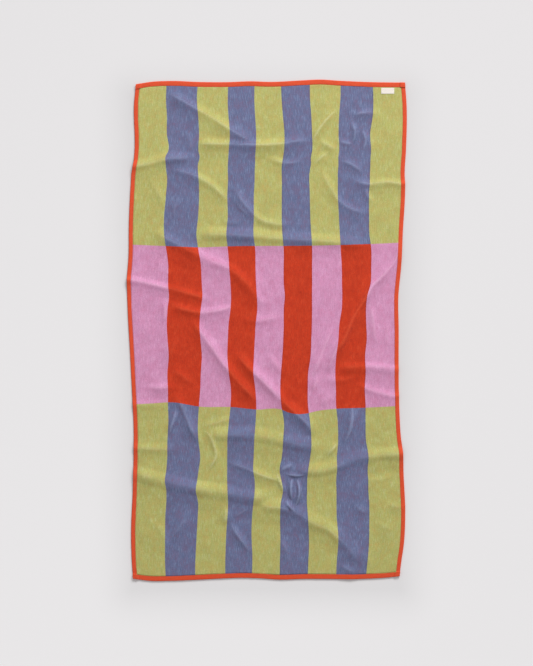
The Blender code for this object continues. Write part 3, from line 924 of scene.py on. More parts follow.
@dataclass
class Effects:
    """The node groups that several finishes share, and the numbers that shape them.

    stray is how far a loop is carried off its place, in loops, and scatter how uneven the places
    are. The heights weigh the parts of the pile's height. between and hollow carry the way from a
    loop's middle, and the loose noise, to the depth of the gap, which is painted shade between the
    loops and in the pile's hollows.
    """

    loops: bpy.types.NodeTree = field(init=False)
    weave: bpy.types.NodeTree = field(init=False)
    handling: bpy.types.NodeTree = field(init=False)
    stray: Triple = (0.9, 1.1, 0.0)
    scatter: float = 0.9
    own_height: float = 0.45
    loop_height: float = 0.6
    loose_height: float = 3.0
    fibre_height: float = 0.9
    between: Span = Span(0.3, 0.9, 0.0, 0.5)
    hollow: Span = Span(0.52, 0.3, 0.0, 1.3)

    def __post_init__(self) -> None:
        """Builds each group once."""
        self.loops = self.terry_loops()
        self.weave = self.plain_weave()
        self.handling = self.handling_marks()

    def terry_loops(self) -> bpy.types.NodeTree:
        """Loops of pile with gaps and hollows between them, and streaks along the warp.

        Each loop is a cell with its own shade and height and a round top, 1 - d^2, d being the
        way from its middle. A noise of a loop's size raises and lowers the pile, and a finer one
        makes its fibres. The gap is the larger of a rise with d and a fall with the first noise; it
        is painted shade between the loops and in the pile's hollows.

        Returns:
            The node group.
        """
        graph, given, out = new_group(
            "terry loops",
            {"Vector": "Vector", "Loop": "Float", "Stretch": "Float"},
            {"Height": "Float", "Shade": "Float", "Gap": "Float", "Streak": "Float"},
        )
        places = given["Vector"]
        across = graph.math("DIVIDE", 1.0, given["Loop"])
        along = graph.math("DIVIDE", across, given["Stretch"])
        size = graph.fill(graph.node("ShaderNodeCombineXYZ"), across, along)
        even = graph.vector("MULTIPLY", places, size)
        stray = graph.noise(places, STRAY_GRAIN, "Color")
        cells = graph.node("ShaderNodeTexVoronoi", voronoi_dimensions="2D", feature="F1")
        moved = graph.vector("MULTIPLY_ADD", stray, self.stray, even)
        graph.put(cells.inputs["Vector"], moved)
        cells.inputs["Scale"].default_value = 1.0
        cells.inputs["Randomness"].default_value = self.scatter
        distance, own = cells.outputs["Distance"], graph.split(cells.outputs["Color"], "Color")
        fibre = graph.noise(places, FIBRE_GRAIN)
        loose = graph.noise(places, LOOSE_GRAIN)
        round_top = graph.math("SUBTRACT", 1.0, graph.math("POWER", distance, 2.0))
        tall = graph.math("MULTIPLY_ADD", own[1], self.own_height, round_top)
        tall = graph.math("MULTIPLY", tall, self.loop_height)
        tall = graph.math("MULTIPLY_ADD", loose, self.loose_height, tall)
        graph.put(out["Height"], graph.math("MULTIPLY_ADD", fibre, self.fibre_height, tall))
        graph.put(out["Shade"], own[0])
        # Painted shade: the gap is darkest between loops and in the hollows of the loop-sized noise.
        between, hollow = graph.span(distance, self.between), graph.span(loose, self.hollow)
        graph.put(out["Gap"], graph.math("MAXIMUM", between, hollow))
        graph.put(out["Streak"], graph.noise(places, STREAK_GRAIN))
        return graph.tree

    @staticmethod
    def plain_weave() -> bpy.types.NodeTree:
        """Crossing threads: height (1 + sin across * sin along) / 2, each sine a thread wide.

        Returns:
            The node group.
        """
        graph, given, out = new_group(
            "plain weave",
            {"Vector": "Vector", "Thread": "Float"},
            {"Height": "Float", "Shade": "Float"},
        )
        turn = graph.math("DIVIDE", math.pi, given["Thread"])
        across, along = (
            graph.math("SINE", graph.math("MULTIPLY", part, turn))
            for part in graph.split(given["Vector"])[:2]
        )
        crossing = graph.math("MULTIPLY", across, along)
        graph.put(out["Height"], graph.math("MULTIPLY_ADD", crossing, 0.5, 0.5))
        graph.put(out["Shade"], graph.noise(given["Vector"], SLUB_GRAIN))
        return graph.tree

    @staticmethod
    def handling_marks() -> bpy.types.NodeTree:
        """Soft lighter and darker patches from handling: 1 + depth * (wide + small noise - 1).

        Returns:
            The node group.
        """
        graph, given, out = new_group(
            "handling marks", {"Vector": "Vector", "Depth": "Float"}, {"Factor": "Float"}
        )
        wide, small = (graph.noise(given["Vector"], grain) for grain in (WIDE_GRAIN, SMALL_GRAIN))
        both = graph.math("SUBTRACT", graph.math("ADD", wide, small), 1.0)
        graph.put(out["Factor"], graph.math("MULTIPLY_ADD", both, given["Depth"], 1.0))
        return graph.tree


def linear(red: int, green: int, blue: int) -> Colour:
    """A colour given as screen values (0 to 255), as the shader's linear values."""
    screen = (red / 255, green / 255, blue / 255)
    return (*(c / 12.92 if c <= 0.04045 else ((c + 0.055) / 1.055) ** 2.4 for c in screen), 1.0)


def cloth_places(graph: Graph) -> Socket:
    """The piece's own cloth places, in mm."""
    places = graph.node("ShaderNodeUVMap", uv_map="cloth")
    return graph.vector("MULTIPLY", places.outputs[0], (1 / MM, 1 / MM, 1 / MM))


def new_material(name: str) -> tuple[bpy.types.Material, Graph, bpy.types.Node]:
    """Starts a material.

    Args:
        name: The material's name.

    Returns:
        The material, its graph and its Principled shader.
    """
    material = bpy.data.materials.new(name)
    material.use_nodes = True
    return material, Graph(material.node_tree), material.node_tree.nodes["Principled BSDF"]


@dataclass(frozen=True)
class StripePlan:
    """Where the woven stripes and colour bands change, as shares of the cloth."""

    edges: tuple[float, ...] = (0.122, 0.241, 0.348, 0.449, 0.550, 0.654, 0.759, 0.873)
    band_low: float = 0.345
    band_high: float = 0.675


class Tone(NamedTuple):
    """A stripe's colours: its pile, the tips that catch light, and the ground yarn below."""

    pile: Colour
    pale: Colour
    ground: Colour


@dataclass(frozen=True)
class TerryFinish:
    """Looped cotton pile in stripes: matte, softly fuzzy and streaked along the warp, with the
    ground yarn showing in thin dashes, paler tips in streaks, a painted highlight in the tips'
    pale colour along the crests, and painted shade between the loops."""

    citron: Tone = Tone(linear(164, 164, 93), linear(184, 185, 132), linear(188, 138, 80))
    periwinkle: Tone = Tone(linear(92, 100, 134), linear(122, 133, 166), linear(122, 74, 98))
    rose: Tone = Tone(linear(194, 135, 171), linear(208, 156, 187), linear(184, 102, 134))
    scarlet: Tone = Tone(linear(185, 50, 17), linear(198, 69, 37), linear(148, 30, 13))
    loop_mm: float = 1.3
    stretch: float = 1.35
    seam_mm: float = 1.6
    seam_depth: float = 0.86
    ragged_mm: float = 1.4
    marks_depth: float = 0.14
    dash_on_crest: float = 0.1
    dash_in_cloud: float = 0.22
    dashes: Span = Span(0.67, 0.83, 0.0, 0.75)
    clouds: Span = Span(0.42, 0.7, 0.0, 0.26)
    tips: Span = Span(0.48, 0.68, 0.0, 0.8)
    tips_in_cloud: Span = Span(0.62, 0.4, 0.25, 1.0)
    painted_crest_highlight: float = 0.75
    loop_shade: Span = Span(0.0, 1.0, 0.96, 1.12)
    gap_shade: Span = Span(0.0, 1.0, 1.12, 0.8)
    streak_shade: Span = Span(0.25, 0.75, 0.93, 1.07)
    roughness: Span = Span(0.0, 1.0, 0.72, 0.88)
    specular: float = 0.2
    sheen: float = 0.2
    sheen_roughness: float = 0.45
    sheen_tint: Colour = (1.0, 0.98, 0.95, 1.0)
    streak_height: float = 0.8
    relief: float = 0.5
    relief_m: float = 0.0006

    def stripes(
        self, graph: Graph, across: Socket, plan: StripePlan, line: float, one: Colour, two: Colour
    ) -> Socket:
        """Nine stripes of two colours in turn, with hard edges, from the share across the cloth.

        The stripes of colour two are a little deeper in a line along each of their edges, where
        the pile parts.

        Args:
            graph: The material's graph.
            across: The share across the cloth, 0 to 1.
            plan: Where the stripes change.
            line: The width of the deeper line, as a share of the cloth's width.
            one, two: The colours; the first and the last stripe are of colour one.

        Returns:
            The colour.
        """
        ramp = graph.node("ShaderNodeValToRGB")
        ramp.color_ramp.interpolation = "CONSTANT"
        stops = ramp.color_ramp.elements
        stops[0].color = one
        stops.remove(stops[1])
        deep = (*(self.seam_depth * part for part in two[:3]), 1.0)
        for start, end in zip(plan.edges[::2], plan.edges[1::2]):
            places = (start, start + line, end - line, end)
            for place, colour in zip(places, (deep, two, deep, one)):
                stops.new(place).color = colour
        return graph.fill(ramp, across)

    def tones(
        self, graph: Graph, places: Socket, plan: StripePlan, outline: Outline
    ) -> dict[str, Socket]:
        """The pile, pale and ground colours of every stripe, with edges ragged by a loop's width.

        Args:
            graph: The material's graph.
            places: The cloth places, in mm.
            plan: Where the stripes and bands change.
            outline: For the cloth's width and length.

        Returns:
            The three colours by name.
        """
        ragged = graph.noise(places, RAGGED_GRAIN, "Color")
        half = self.ragged_mm / 2
        reach, middle = (self.ragged_mm, self.ragged_mm, 0.0), (-half, -half, 0.0)
        offset = graph.vector("MULTIPLY_ADD", ragged, reach, middle)
        parts = graph.split(graph.vector("ADD", places, offset))
        across = graph.math("DIVIDE", parts[0], outline.width)
        along = graph.math("DIVIDE", parts[1], outline.length)
        above = graph.math("GREATER_THAN", along, plan.band_low)
        below = graph.math("LESS_THAN", along, plan.band_high)
        in_band = graph.math("MULTIPLY", above, below)
        line = self.seam_mm / outline.width
        made = {}
        for name in Tone._fields:
            ends, band = (
                self.stripes(graph, across, plan, line, getattr(one, name), getattr(two, name))
                for one, two in ((self.citron, self.periwinkle), (self.rose, self.scarlet))
            )
            made[name] = graph.mix(in_band, ends, band)
        return made

    def material(self, effects: Effects, plan: StripePlan, outline: Outline) -> bpy.types.Material:
        """Builds the material.

        Args:
            effects: The shared node groups.
            plan: Where the stripes and bands change.
            outline: For the cloth's width and length.

        Returns:
            The terry's material.
        """
        material, graph, shader = new_material("striped terry")
        places = cloth_places(graph)
        loops = graph.group(effects.loops, Vector=places, Loop=self.loop_mm, Stretch=self.stretch)
        own, gap, streak = (loops.outputs[name] for name in ("Shade", "Gap", "Streak"))
        tones = self.tones(graph, places, plan, outline)
        # opened is how far the cloth bends over a crest: more ground yarn shows there, and it sets a
        # painted highlight.
        opened_and_highlit = graph.node("ShaderNodeAttribute", attribute_name="opened_and_highlit").outputs["Fac"]
        cloud = graph.noise(places, CLOUD_GRAIN)
        dash = graph.noise(places, DASH_GRAIN)
        dash = graph.math("MULTIPLY_ADD", opened_and_highlit, self.dash_on_crest, dash)
        dash = graph.math("MULTIPLY_ADD", cloud, self.dash_in_cloud, dash)
        bare = graph.math("MAXIMUM", graph.span(dash, self.dashes), graph.span(cloud, self.clouds))
        colour = graph.mix(bare, tones["pile"], tones["ground"])
        tips = graph.span(graph.noise(places, TIP_GRAIN), self.tips)
        tips = graph.math("MULTIPLY", tips, graph.span(cloud, self.tips_in_cloud))
        # Painted highlight: over the crests the pile is painted in its pale tips' colour.
        crest = graph.math("MULTIPLY", opened_and_highlit, self.painted_crest_highlight)
        colour = graph.mix(graph.math("MAXIMUM", tips, crest), colour, tones["pale"])
        # Painted shade: gap_shade darkens the pile between the loops and in its hollows; the loops' own
        # shade, the streaks and the marks are random tone.
        shade = graph.math("MULTIPLY", graph.span(own, self.loop_shade), graph.span(gap, self.gap_shade))
        shade = graph.math("MULTIPLY", shade, graph.span(streak, self.streak_shade))
        marks = graph.group(effects.handling, Vector=places, Depth=self.marks_depth)
        shade = graph.math("MULTIPLY", shade, marks.outputs[0])
        graph.put(shader.inputs["Base Color"], graph.shaded(colour, shade))
        graph.put(shader.inputs["Roughness"], graph.span(own, self.roughness))
        shader.inputs["Specular IOR Level"].default_value = self.specular
        shader.inputs["Sheen Weight"].default_value = self.sheen
        shader.inputs["Sheen Roughness"].default_value = self.sheen_roughness
        shader.inputs["Sheen Tint"].default_value = self.sheen_tint
        ridges = graph.math("MULTIPLY", streak, self.streak_height)
        height = graph.math("ADD", loops.outputs["Height"], ridges)
        graph.put(shader.inputs["Normal"], graph.bump(height, self.relief, self.relief_m))
        return material


@dataclass(frozen=True)
class WovenFinish:
    """A flat-woven cotton strip, ribbon or thread."""

    name: str
    yarn: Colour
    shadow: Colour
    thread_mm: float
    relief: float = 0.5
    relief_m: float = 0.00025
    specular: float = 0.25
    sheen: float = 0.08
    sheen_roughness: float = 0.4
    marks_depth: float = 0.1
    between: Span = Span(0.0, 0.55, 0.55, 0.0)
    slubs: Span = Span(0.25, 0.75, 0.92, 1.08)
    roughness: Span = Span(0.0, 1.0, 0.7, 0.9)

    def material(self, effects: Effects) -> bpy.types.Material:
        """Builds the material from the shared weave and handling groups.

        Args:
            effects: The shared node groups.

        Returns:
            The material.
        """
        material, graph, shader = new_material(self.name)
        places = cloth_places(graph)
        weave = graph.group(effects.weave, Vector=places, Thread=self.thread_mm)
        marks = graph.group(effects.handling, Vector=places, Depth=self.marks_depth)
        height, slub = weave.outputs["Height"], weave.outputs["Shade"]
        colour = graph.mix(graph.span(height, self.between), self.yarn, self.shadow)
        shade = graph.math("MULTIPLY", graph.span(slub, self.slubs), marks.outputs[0])
        graph.put(shader.inputs["Base Color"], graph.shaded(colour, shade))
        graph.put(shader.inputs["Roughness"], graph.span(slub, self.roughness))
        shader.inputs["Specular IOR Level"].default_value = self.specular
        shader.inputs["Sheen Weight"].default_value = self.sheen
        shader.inputs["Sheen Roughness"].default_value = self.sheen_roughness
        graph.put(shader.inputs["Normal"], graph.bump(height, self.relief, self.relief_m))
        return material


BINDING_FINISH = WovenFinish("scarlet binding", linear(210, 76, 42), linear(180, 56, 30), 0.55)
THREAD_FINISH = WovenFinish("scarlet thread", linear(214, 90, 58), linear(170, 56, 34), 0.3, sheen=0.3)
LABEL_FINISH = WovenFinish(
    "cream ribbon", linear(224, 216, 206), linear(190, 182, 172), 0.32, relief=0.35
)
LABEL_THREAD_FINISH = WovenFinish("cream thread", linear(240, 238, 232), linear(200, 196, 188), 0.3)


@dataclass
class TerryCloth:
    """The towel's one piece of terry, from its pressed raw edges to the swelling pile between."""

    makeup: Makeup
    maker: MeshMaker
    finish: TerryFinish = TerryFinish()
    plan: StripePlan = StripePlan()
    step: float = 3.9
    close_across: tuple[float, float] = (436.0, 482.0)
    close_along: tuple[float, float] = (196.0, 304.0)
    under_step: float = 10.0
    swell_lines: tuple[float, ...] = (0.0, 0.5, 1.1, 1.8, 2.4, 3.2, 4.6)
    pile_lumps: tuple[Lumps, ...] = (Lumps(0.22, 7.0, 15.0, 3), Lumps(0.132, 3.8, 9.0, 4))
    rolls: tuple[Lumps, ...] = (Lumps(0.45, 46.0, 38.0, 5), Lumps(0.315, 21.0, 26.0, 6))
    full_bend: float = 0.11
    tiny: float = 1e-6

    def lines(self, length: float, is_end: bool, fine: bool) -> Array:
        """The grid lines over a length of cloth: close at its swelling edges and at the tuck.

        Args:
            length: The length, in mm.
            is_end: Whether it runs between the two end bindings.
            fine: Whether the lines are for the upper face.

        Returns:
            Their places, rising, in mm.
        """
        raw, start = self.makeup.raw, self.makeup.pressed_to(is_end)
        border = np.array([raw, start, start + self.makeup.swell])
        if fine:
            border = np.array([raw, (raw + start) / 2, *(start + at for at in self.swell_lines)])
        count = round((length - 2 * border[-1]) / (self.step if fine else self.under_step))
        middle = np.linspace(border[-1], length - border[-1], max(1, count) + 1)
        if fine:
            low, high = self.close_along if is_end else self.close_across
            halves = (middle[1:] + middle[:-1]) / 2
            middle = np.sort(np.concatenate([middle, halves[(halves > low) & (halves < high)]]))
        return np.concatenate([border[:-1], middle, (length - border[:-1])[::-1]])

    def woven_place(self, x: Array, y: Array, a: Array) -> Array:
        """The cloth places that the pattern reads, in metres.

        Across, each height of the towel has its own places of the eight stripe edges, on smooth
        curves up the towel, and the pattern is stretched evenly between them. Along, it is
        stretched so that the colour bands change on their two lines.

        Args:
            x, y: The points in plan, in mm.
            a: The points' places across the cloth, in mm.

        Returns:
            One row of two places for each point.
        """
        outline = self.makeup.outline
        even = np.array([0.0, *self.plan.edges, 1.0]) * outline.width
        heights = [row.along for row in SWAYS]
        lies = [even[0] + 0 * y]
        for k, place in enumerate(even[1:-1]):
            lies.append(place + smooth_curve(y, heights, [row.edges[k] for row in SWAYS]))
        lies.append(even[-1] + 0 * y)
        across = a.copy()
        for k in range(len(even) - 1):
            share = (a - lies[k]) / (lies[k + 1] - lies[k])
            across = np.where(share > 0, even[k] + share * (even[k + 1] - even[k]), across)
        half = outline.length / 2
        low, high = (
            smooth_curve(x, [p.along for p in line], [p.out for p in line])
            for line in (LOW_CHANGE, HIGH_CHANGE)
        )
        low_b, high_b = self.plan.band_low * outline.length, self.plan.band_high * outline.length
        below = (y + half) / (low + half) * low_b
        between = low_b + (y - low) / (high - low) * (high_b - low_b)
        above = high_b + (y - high) / (half - high) * (outline.length - high_b)
        along = np.where(y < low, below, np.where(y < high, between, above))
        return np.column_stack([across, along]) * MM

    def surface(self, fine: bool) -> tuple[Array, Array, Array, Array]:
        """One face of the cloth.

        The underside lies on the floor or follows the ripples, lifted by the binding legs below
        it. The upper face is a thickness above it: pressed thin inside the bindings, rising by an
        S-curve beside them, cut longer on slopes, and a little uneven as pile is.

        Args:
            fine: Whether it is the upper face.

        Returns:
            Points in mm, their pattern places in metres, how strongly the cloth bends there over a
            crest (0 to 1), which opens the pile to its ground yarn and sets the painted highlight on
            the crests, and the grid of point numbers.
        """
        makeup = self.makeup
        a_lines = self.lines(makeup.outline.width, False, fine)
        b_lines = self.lines(makeup.outline.length, True, fine)
        a, b = (g.ravel() for g in np.meshgrid(a_lines, b_lines, indexing="ij"))
        x, y, low = makeup.plan(a, b)
        side, end = makeup.shares(a, b)
        low = low + makeup.lift * (side + end)
        z, opened_and_highlit = low, 0 * low
        if fine:
            open_cloth = smooth_step(1 - side) * smooth_step(1 - end)
            thick = makeup.pressed + (makeup.cloth - makeup.pressed) * open_cloth
            steep, bend = makeup.ripples.bends(x, y)
            steep = 1 + (steep - 1) * open_cloth
            # The bend over a crest, 0 to 1, which the material uses for ground yarn and a painted
            # highlight.
            opened_and_highlit = smooth_step(bend / self.full_bend)
            uneven = sum(lumps.at(x, y) for lumps in self.pile_lumps)
            uneven = uneven + sum(lumps.at(x, y) for lumps in self.rolls)
            z = low + thick * steep + uneven * open_cloth
        places = self.woven_place(x, y, a)
        index = np.arange(len(a)).reshape(len(a_lines), len(b_lines))
        return np.column_stack([x, y, z]), places, opened_and_highlit, index

    def rim(self, top: Array, bottom: Array, top_at: Array, bottom_at: Array) -> Array:
        """The triangles that close a border between a fine upper row and a coarse lower row.

        Each fine step makes one triangle with the last coarse point, and each coarse step one
        with the fine point above its end.

        Args:
            top, bottom: Point numbers along the two rows.
            top_at, bottom_at: Their places along the edge, rising.

        Returns:
            The triangles, one row each.
        """
        last = np.searchsorted(bottom_at, top_at[:-1] + self.tiny) - 1
        upper = np.column_stack([bottom[last], top[1:], top[:-1]])
        over_end = np.searchsorted(top_at, bottom_at[1:] - self.tiny)
        above = top[np.clip(over_end, 0, len(top) - 1)]
        lower = np.column_stack([bottom[:-1], bottom[1:], above])
        return np.concatenate([upper, lower])

    def build(self) -> bpy.types.Object:
        """Builds the closed cloth from its two faces and the rim between them.

        Returns:
            The cloth.
        """
        width, length = self.makeup.outline.width, self.makeup.outline.length
        top, top_uv, top_opened_and_highlit, top_index = self.surface(True)
        under, under_uv, under_opened_and_highlit, under_index = self.surface(False)
        under_index = under_index + len(top)
        across = self.lines(width, False, True), self.lines(width, False, False)
        along = self.lines(length, True, True), self.lines(length, True, False)
        rims = [
            self.rim(top_index[:, 0], under_index[:, 0], *across),
            self.rim(top_index[-1, :], under_index[-1, :], *along),
            self.rim(top_index[:, -1], under_index[:, -1], *across)[:, ::-1],
            self.rim(top_index[0, :], under_index[0, :], *along)[:, ::-1],
        ]
        faces = [grid_faces(top_index), grid_faces(under_index)[:, ::-1], np.concatenate(rims)]
        points, uv = np.vstack([top, under]), np.vstack([top_uv, under_uv])
        piece = self.maker.make("towel_terry", points, faces, uv)
        opened_and_highlit = np.concatenate([top_opened_and_highlit, under_opened_and_highlit]).astype(np.float32)
        piece.data.attributes.new("opened_and_highlit", "FLOAT", "POINT").data.foreach_set("value", opened_and_highlit)
        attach(piece, "root")
        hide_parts("terry_cloth")
        return piece

    def dress(self, piece: bpy.types.Object, effects: Effects) -> None:
        """Gives the cloth its striped pile."""
        piece.data.materials.append(self.finish.material(effects, self.plan, self.makeup.outline))


@dataclass
class Binding:
    """A strip folded round one edge and sewn through, puckered by its stitches.

    Its section is set by the places of each leg's points, as shares of the strip's width, the dip
    along the seam and at the lip, how far in the fold's half round begins, and where the inside
    begins and how far it widens there. The lip sways a little along the edge.
    """

    side: Side
    makeup: Makeup
    maker: MeshMaker
    step: float = 2.6
    end_gap: float = 0.2
    stitch_inset: float = 2.2
    stitch_pitch: float = 3.2
    rise_steps: int = 7
    lap_slope: float = 6.5
    leg_shares: tuple[float, ...] = (1.0, 0.93, 0.86, 0.8, 0.74, 0.68, 0.55, 0.42, 0.3, 0.2)
    inner_shares: tuple[float, ...] = (0.4, 0.7)
    turn_points: int = 7
    seam_dip: float = 0.28
    seam_reach: float = 0.75
    lip_dip: float = 0.12
    lip_width: float = 0.1
    round_in: float = 1.8
    inner_start: float = 0.6
    inner_round: float = 0.5
    lip_from: float = 0.6
    lip_sway: Lumps = Lumps(0.35, 14.0, 1.0, 20)
    pucker: float = 0.16
    pucker_sizes: tuple[tuple[float, float], ...] = ((4.2, 5.0), (11.0, 9.0))
    least_step: float = 0.2

    @property
    def width(self) -> float:
        """How wide the strip is on each face."""
        return self.makeup.end_width if self.side.is_end else self.makeup.side_width

    @property
    def length(self) -> float:
        """The length of the cloth along this edge."""
        outline = self.makeup.outline
        return outline.width if self.side.is_end else outline.length

    @property
    def number(self) -> int:
        """This side's place among the four, which sets its seeds."""
        return list(Side).index(self.side)

    def cloth_place(self, inset: Array, along: Array) -> tuple[Array, Array]:
        """Where on the cloth places are that lie so far in from this edge and so far along it.

        Args:
            inset, along: The two distances, in mm.

        Returns:
            Their a and b, in mm.
        """
        outline = self.makeup.outline
        if self.side is Side.LEFT:
            return inset, along
        if self.side is Side.RIGHT:
            return outline.width - inset, along
        if self.side is Side.BOTTOM:
            return along, inset
        return along, outline.length - inset

    def stations(self) -> Array:
        """Places along the edge: even ones, and close ones where it crosses the other strips.

        A side strip stops inside the end strips, and an end strip goes right out.

        Returns:
            The places, rising, in mm.
        """
        start = 0.0 if self.side.is_end else self.makeup.raw + self.end_gap
        count = round((self.length - 2 * start) / self.step) + 1
        even = np.linspace(start, self.length - start, count)
        slope = self.lap_slope if self.side.is_end else self.makeup.swell
        rise = self.makeup.pressed_to(not self.side.is_end) + slope * np.linspace(0, 1, self.rise_steps)
        return np.unique(np.concatenate([even, rise, self.length - rise]))

    def levels(self, along: Array) -> tuple[Array, Array]:
        """How high the strip's underside and its top are along the edge, over the ripples.

        A side strip rises by one leg and gap where it goes into an end strip. An end strip lies
        on the floor and swells over the two legs of the side strip inside it.

        Args:
            along: Places along the edge, in mm.

        Returns:
            The heights of the underside and of the top, in mm.
        """
        makeup = self.makeup
        to_end = np.minimum(along, self.length - along)
        flat = 2 * makeup.lift + makeup.pressed
        if self.side.is_end:
            over = smooth_step(1 + (makeup.pressed_to(False) - to_end) / self.lap_slope)
            return 0 * along, flat + 2 * makeup.lift * over
        crossing = smooth_step(makeup.under(to_end, True))
        return makeup.lift * crossing, flat + makeup.lift * crossing

    def section(self) -> tuple[Array, Array, Array]:
        """The folded strip's section, from its inner top edge round the fold and back inside.

        The outside is flat legs joined by a half round, and the inside is the same line a strip's
        thickness further in. Each leg dips along its seam and has a small lip beyond it.

        Returns:
            The inset of each point in mm, its share of the way up (0 underside, 1 top), and its
            offset from there in mm.
        """
        wall, width = self.makeup.strip, self.width
        seam = width - self.stitch_inset
        leg = np.array(self.leg_shares) * width
        dip = -self.seam_dip * np.exp(-(((leg - seam) / self.seam_reach) ** 2))
        dip = dip - self.lip_dip * (leg > width - self.lip_width)
        turn = np.linspace(0, math.pi, self.turn_points + 2)[1:-1]
        fold = [self.round_in * (1 - np.sin(turn)), 0.5 + 0.5 * np.cos(turn), 0 * turn]
        middle = (share * width for share in self.inner_shares)
        inner = np.array([wall + self.inner_start, *middle, seam, width])
        deep = wall + self.inner_round
        points = np.vstack([
            np.column_stack([leg, np.ones_like(leg), dip]),
            np.column_stack(fold),
            np.column_stack([leg, 0 * leg, -dip])[::-1],
            np.column_stack([inner, 0 * inner, wall + 0 * inner])[::-1],
            np.array([[wall, 0.0, deep], [wall, 1.0, -deep]]),
            np.column_stack([inner, 1 + 0 * inner, -wall + 0 * inner]),
        ])
        return points[:, 0], points[:, 1], points[:, 2]

    def build(self) -> bpy.types.Object:
        """Carries the section along the edge, with puckers between the stitches, and caps it.

        Returns:
            The strip.
        """
        inset, share, offset = self.section()
        along = self.stations()
        inset_grid = np.repeat(inset[:, None], len(along), 1)
        along_grid = np.repeat(along[None, :], len(inset), 0)
        lip = np.clip((inset_grid / self.width - self.lip_from) / (1 - self.lip_from), 0, 1)
        seed = self.lip_sway.seed + self.number
        sway = self.lip_sway._replace(seed=seed).at(along_grid, 0 * along_grid)
        inset_grid = inset_grid + lip * sway
        bottom, top = self.levels(along_grid)
        swell = sum(
            soft_noise(along_grid, inset_grid, *size, seed + 1 + k)
            for k, size in enumerate(self.pucker_sizes)
        )
        is_outside = offset[:, None] > -self.makeup.strip / 2
        z = bottom + share[:, None] * (top - bottom) + offset[:, None]
        z = z + share[:, None] * self.pucker * swell * is_outside
        a, b = self.cloth_place(inset_grid, along_grid)
        x, y, ripple = self.makeup.plan(a.ravel(), b.ravel())
        z = np.maximum(z, bottom).ravel() + ripple
        index = np.arange(inset_grid.size).reshape(inset_grid.shape)
        faces = [grid_faces(np.vstack([index, index[:1]])), self.caps(index)]
        if self.side in (Side.RIGHT, Side.BOTTOM):
            faces = [f[:, ::-1] for f in faces]
        reach = np.cumsum(np.hypot(np.diff(inset, append=inset[-1]), self.least_step))
        uv = np.column_stack([np.repeat(reach, len(along)), along_grid.ravel()]) * MM
        name = f"edge_binding_{self.side.value}"
        piece = self.maker.make(name, np.column_stack([x, y, z]), faces, uv)
        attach(piece, "root")
        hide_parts(f"binding_{self.side.value}")
        return piece

    def caps(self, index: Array) -> Array:
        """Closes both ends of the strip: outer points joined to the inner points beside them.

        Args:
            index: The grid of point numbers: round the section, then along the edge.

        Returns:
            The quads, one row each.
        """
        count = 2 * len(self.leg_shares) + self.turn_points
        outer = np.arange(count)
        beside = np.linspace(0, len(index) - 1 - count, count)
        inner = len(index) - 1 - np.round(beside).astype(int)
        quads = np.column_stack([outer[:-1], outer[1:], inner[1:], inner[:-1]])
        return np.concatenate([index[:, 0][quads], index[:, -1][quads][:, ::-1]])

    def dress(self, piece: bpy.types.Object, material: bpy.types.Material) -> None:
        """Gives the strip its woven cotton."""
        piece.data.materials.append(material)


@dataclass
class Stitching:
    """The lockstitch seam of one binding: short bridges of thread on both faces.

    sunk is how far an upper stitch's ends lie under the strip's top, sunk_below how far a lower
    one's lie over its underside, and clear how far off the floor it stays.
    """

    binding: Binding
    thread: float = 0.42
    share: float = 0.78
    sides: int = 6
    rows: int = 6
    margin: float = 4.0
    arch: float = 0.16
    sunk: float = 0.22
    sunk_below: float = 0.26
    clear: float = 0.02
    drift: Lumps = Lumps(0.12, 40.0, 1.0, 40)

    def build(self) -> bpy.types.Object:
        """Makes all stitches as one mesh.

        Each stitch is a tube along a low arch: over its length s from 0 to 1 it rises by the sine
        of pi s, and its radius shrinks towards its ends as it dives into the cloth.

        Returns:
            The seam.
        """
        binding = self.binding
        pitch = binding.stitch_pitch
        starts = np.arange(self.margin, binding.length - self.margin - pitch, pitch)
        s = np.linspace(0, 1, self.rows)
        angle = np.linspace(0, 2 * math.pi, self.sides, endpoint=False)
        drift = self.drift._replace(seed=self.drift.seed + binding.number)
        drift = drift.at(starts, 0 * starts)
        radius = stitch_radius(s, self.thread)[None, :, None]
        arch = self.arch * np.sin(math.pi * s)[None, :, None]
        ring_in, ring_up = radius * np.cos(angle), radius * np.sin(angle)
        along = starts[:, None, None] + pitch * (0.5 + self.share * (s[None, :, None] - 0.5))
        inset = binding.width - binding.stitch_inset + drift[:, None, None] + ring_in
        along, inset = np.broadcast_arrays(along + 0 * ring_in, inset + 0 * along)
        bottom, top = binding.levels(along)
        under = np.maximum(bottom + self.sunk_below - arch + ring_up, bottom + self.clear)
        a, b = binding.cloth_place(inset, along)
        x, y, ripple = binding.makeup.plan(a.ravel(), b.ravel())
        uv = np.column_stack([(inset + ring_up).ravel(), along.ravel()]) * MM
        index = np.arange(along.size).reshape(along.shape)
        mirrored = binding.side in (Side.LEFT, Side.TOP)
        points, faces = [], []
        for face, z in enumerate((top - self.sunk + arch + ring_up, under)):
            points.append(np.column_stack([x, y, z.ravel() + ripple]))
            faces += tube_faces(index + face * along.size, mirrored)
        name = f"seam_{binding.side.value}"
        piece = binding.maker.make(name, np.vstack(points), faces, np.vstack([uv, uv]))
        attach(piece, "root")
        return piece


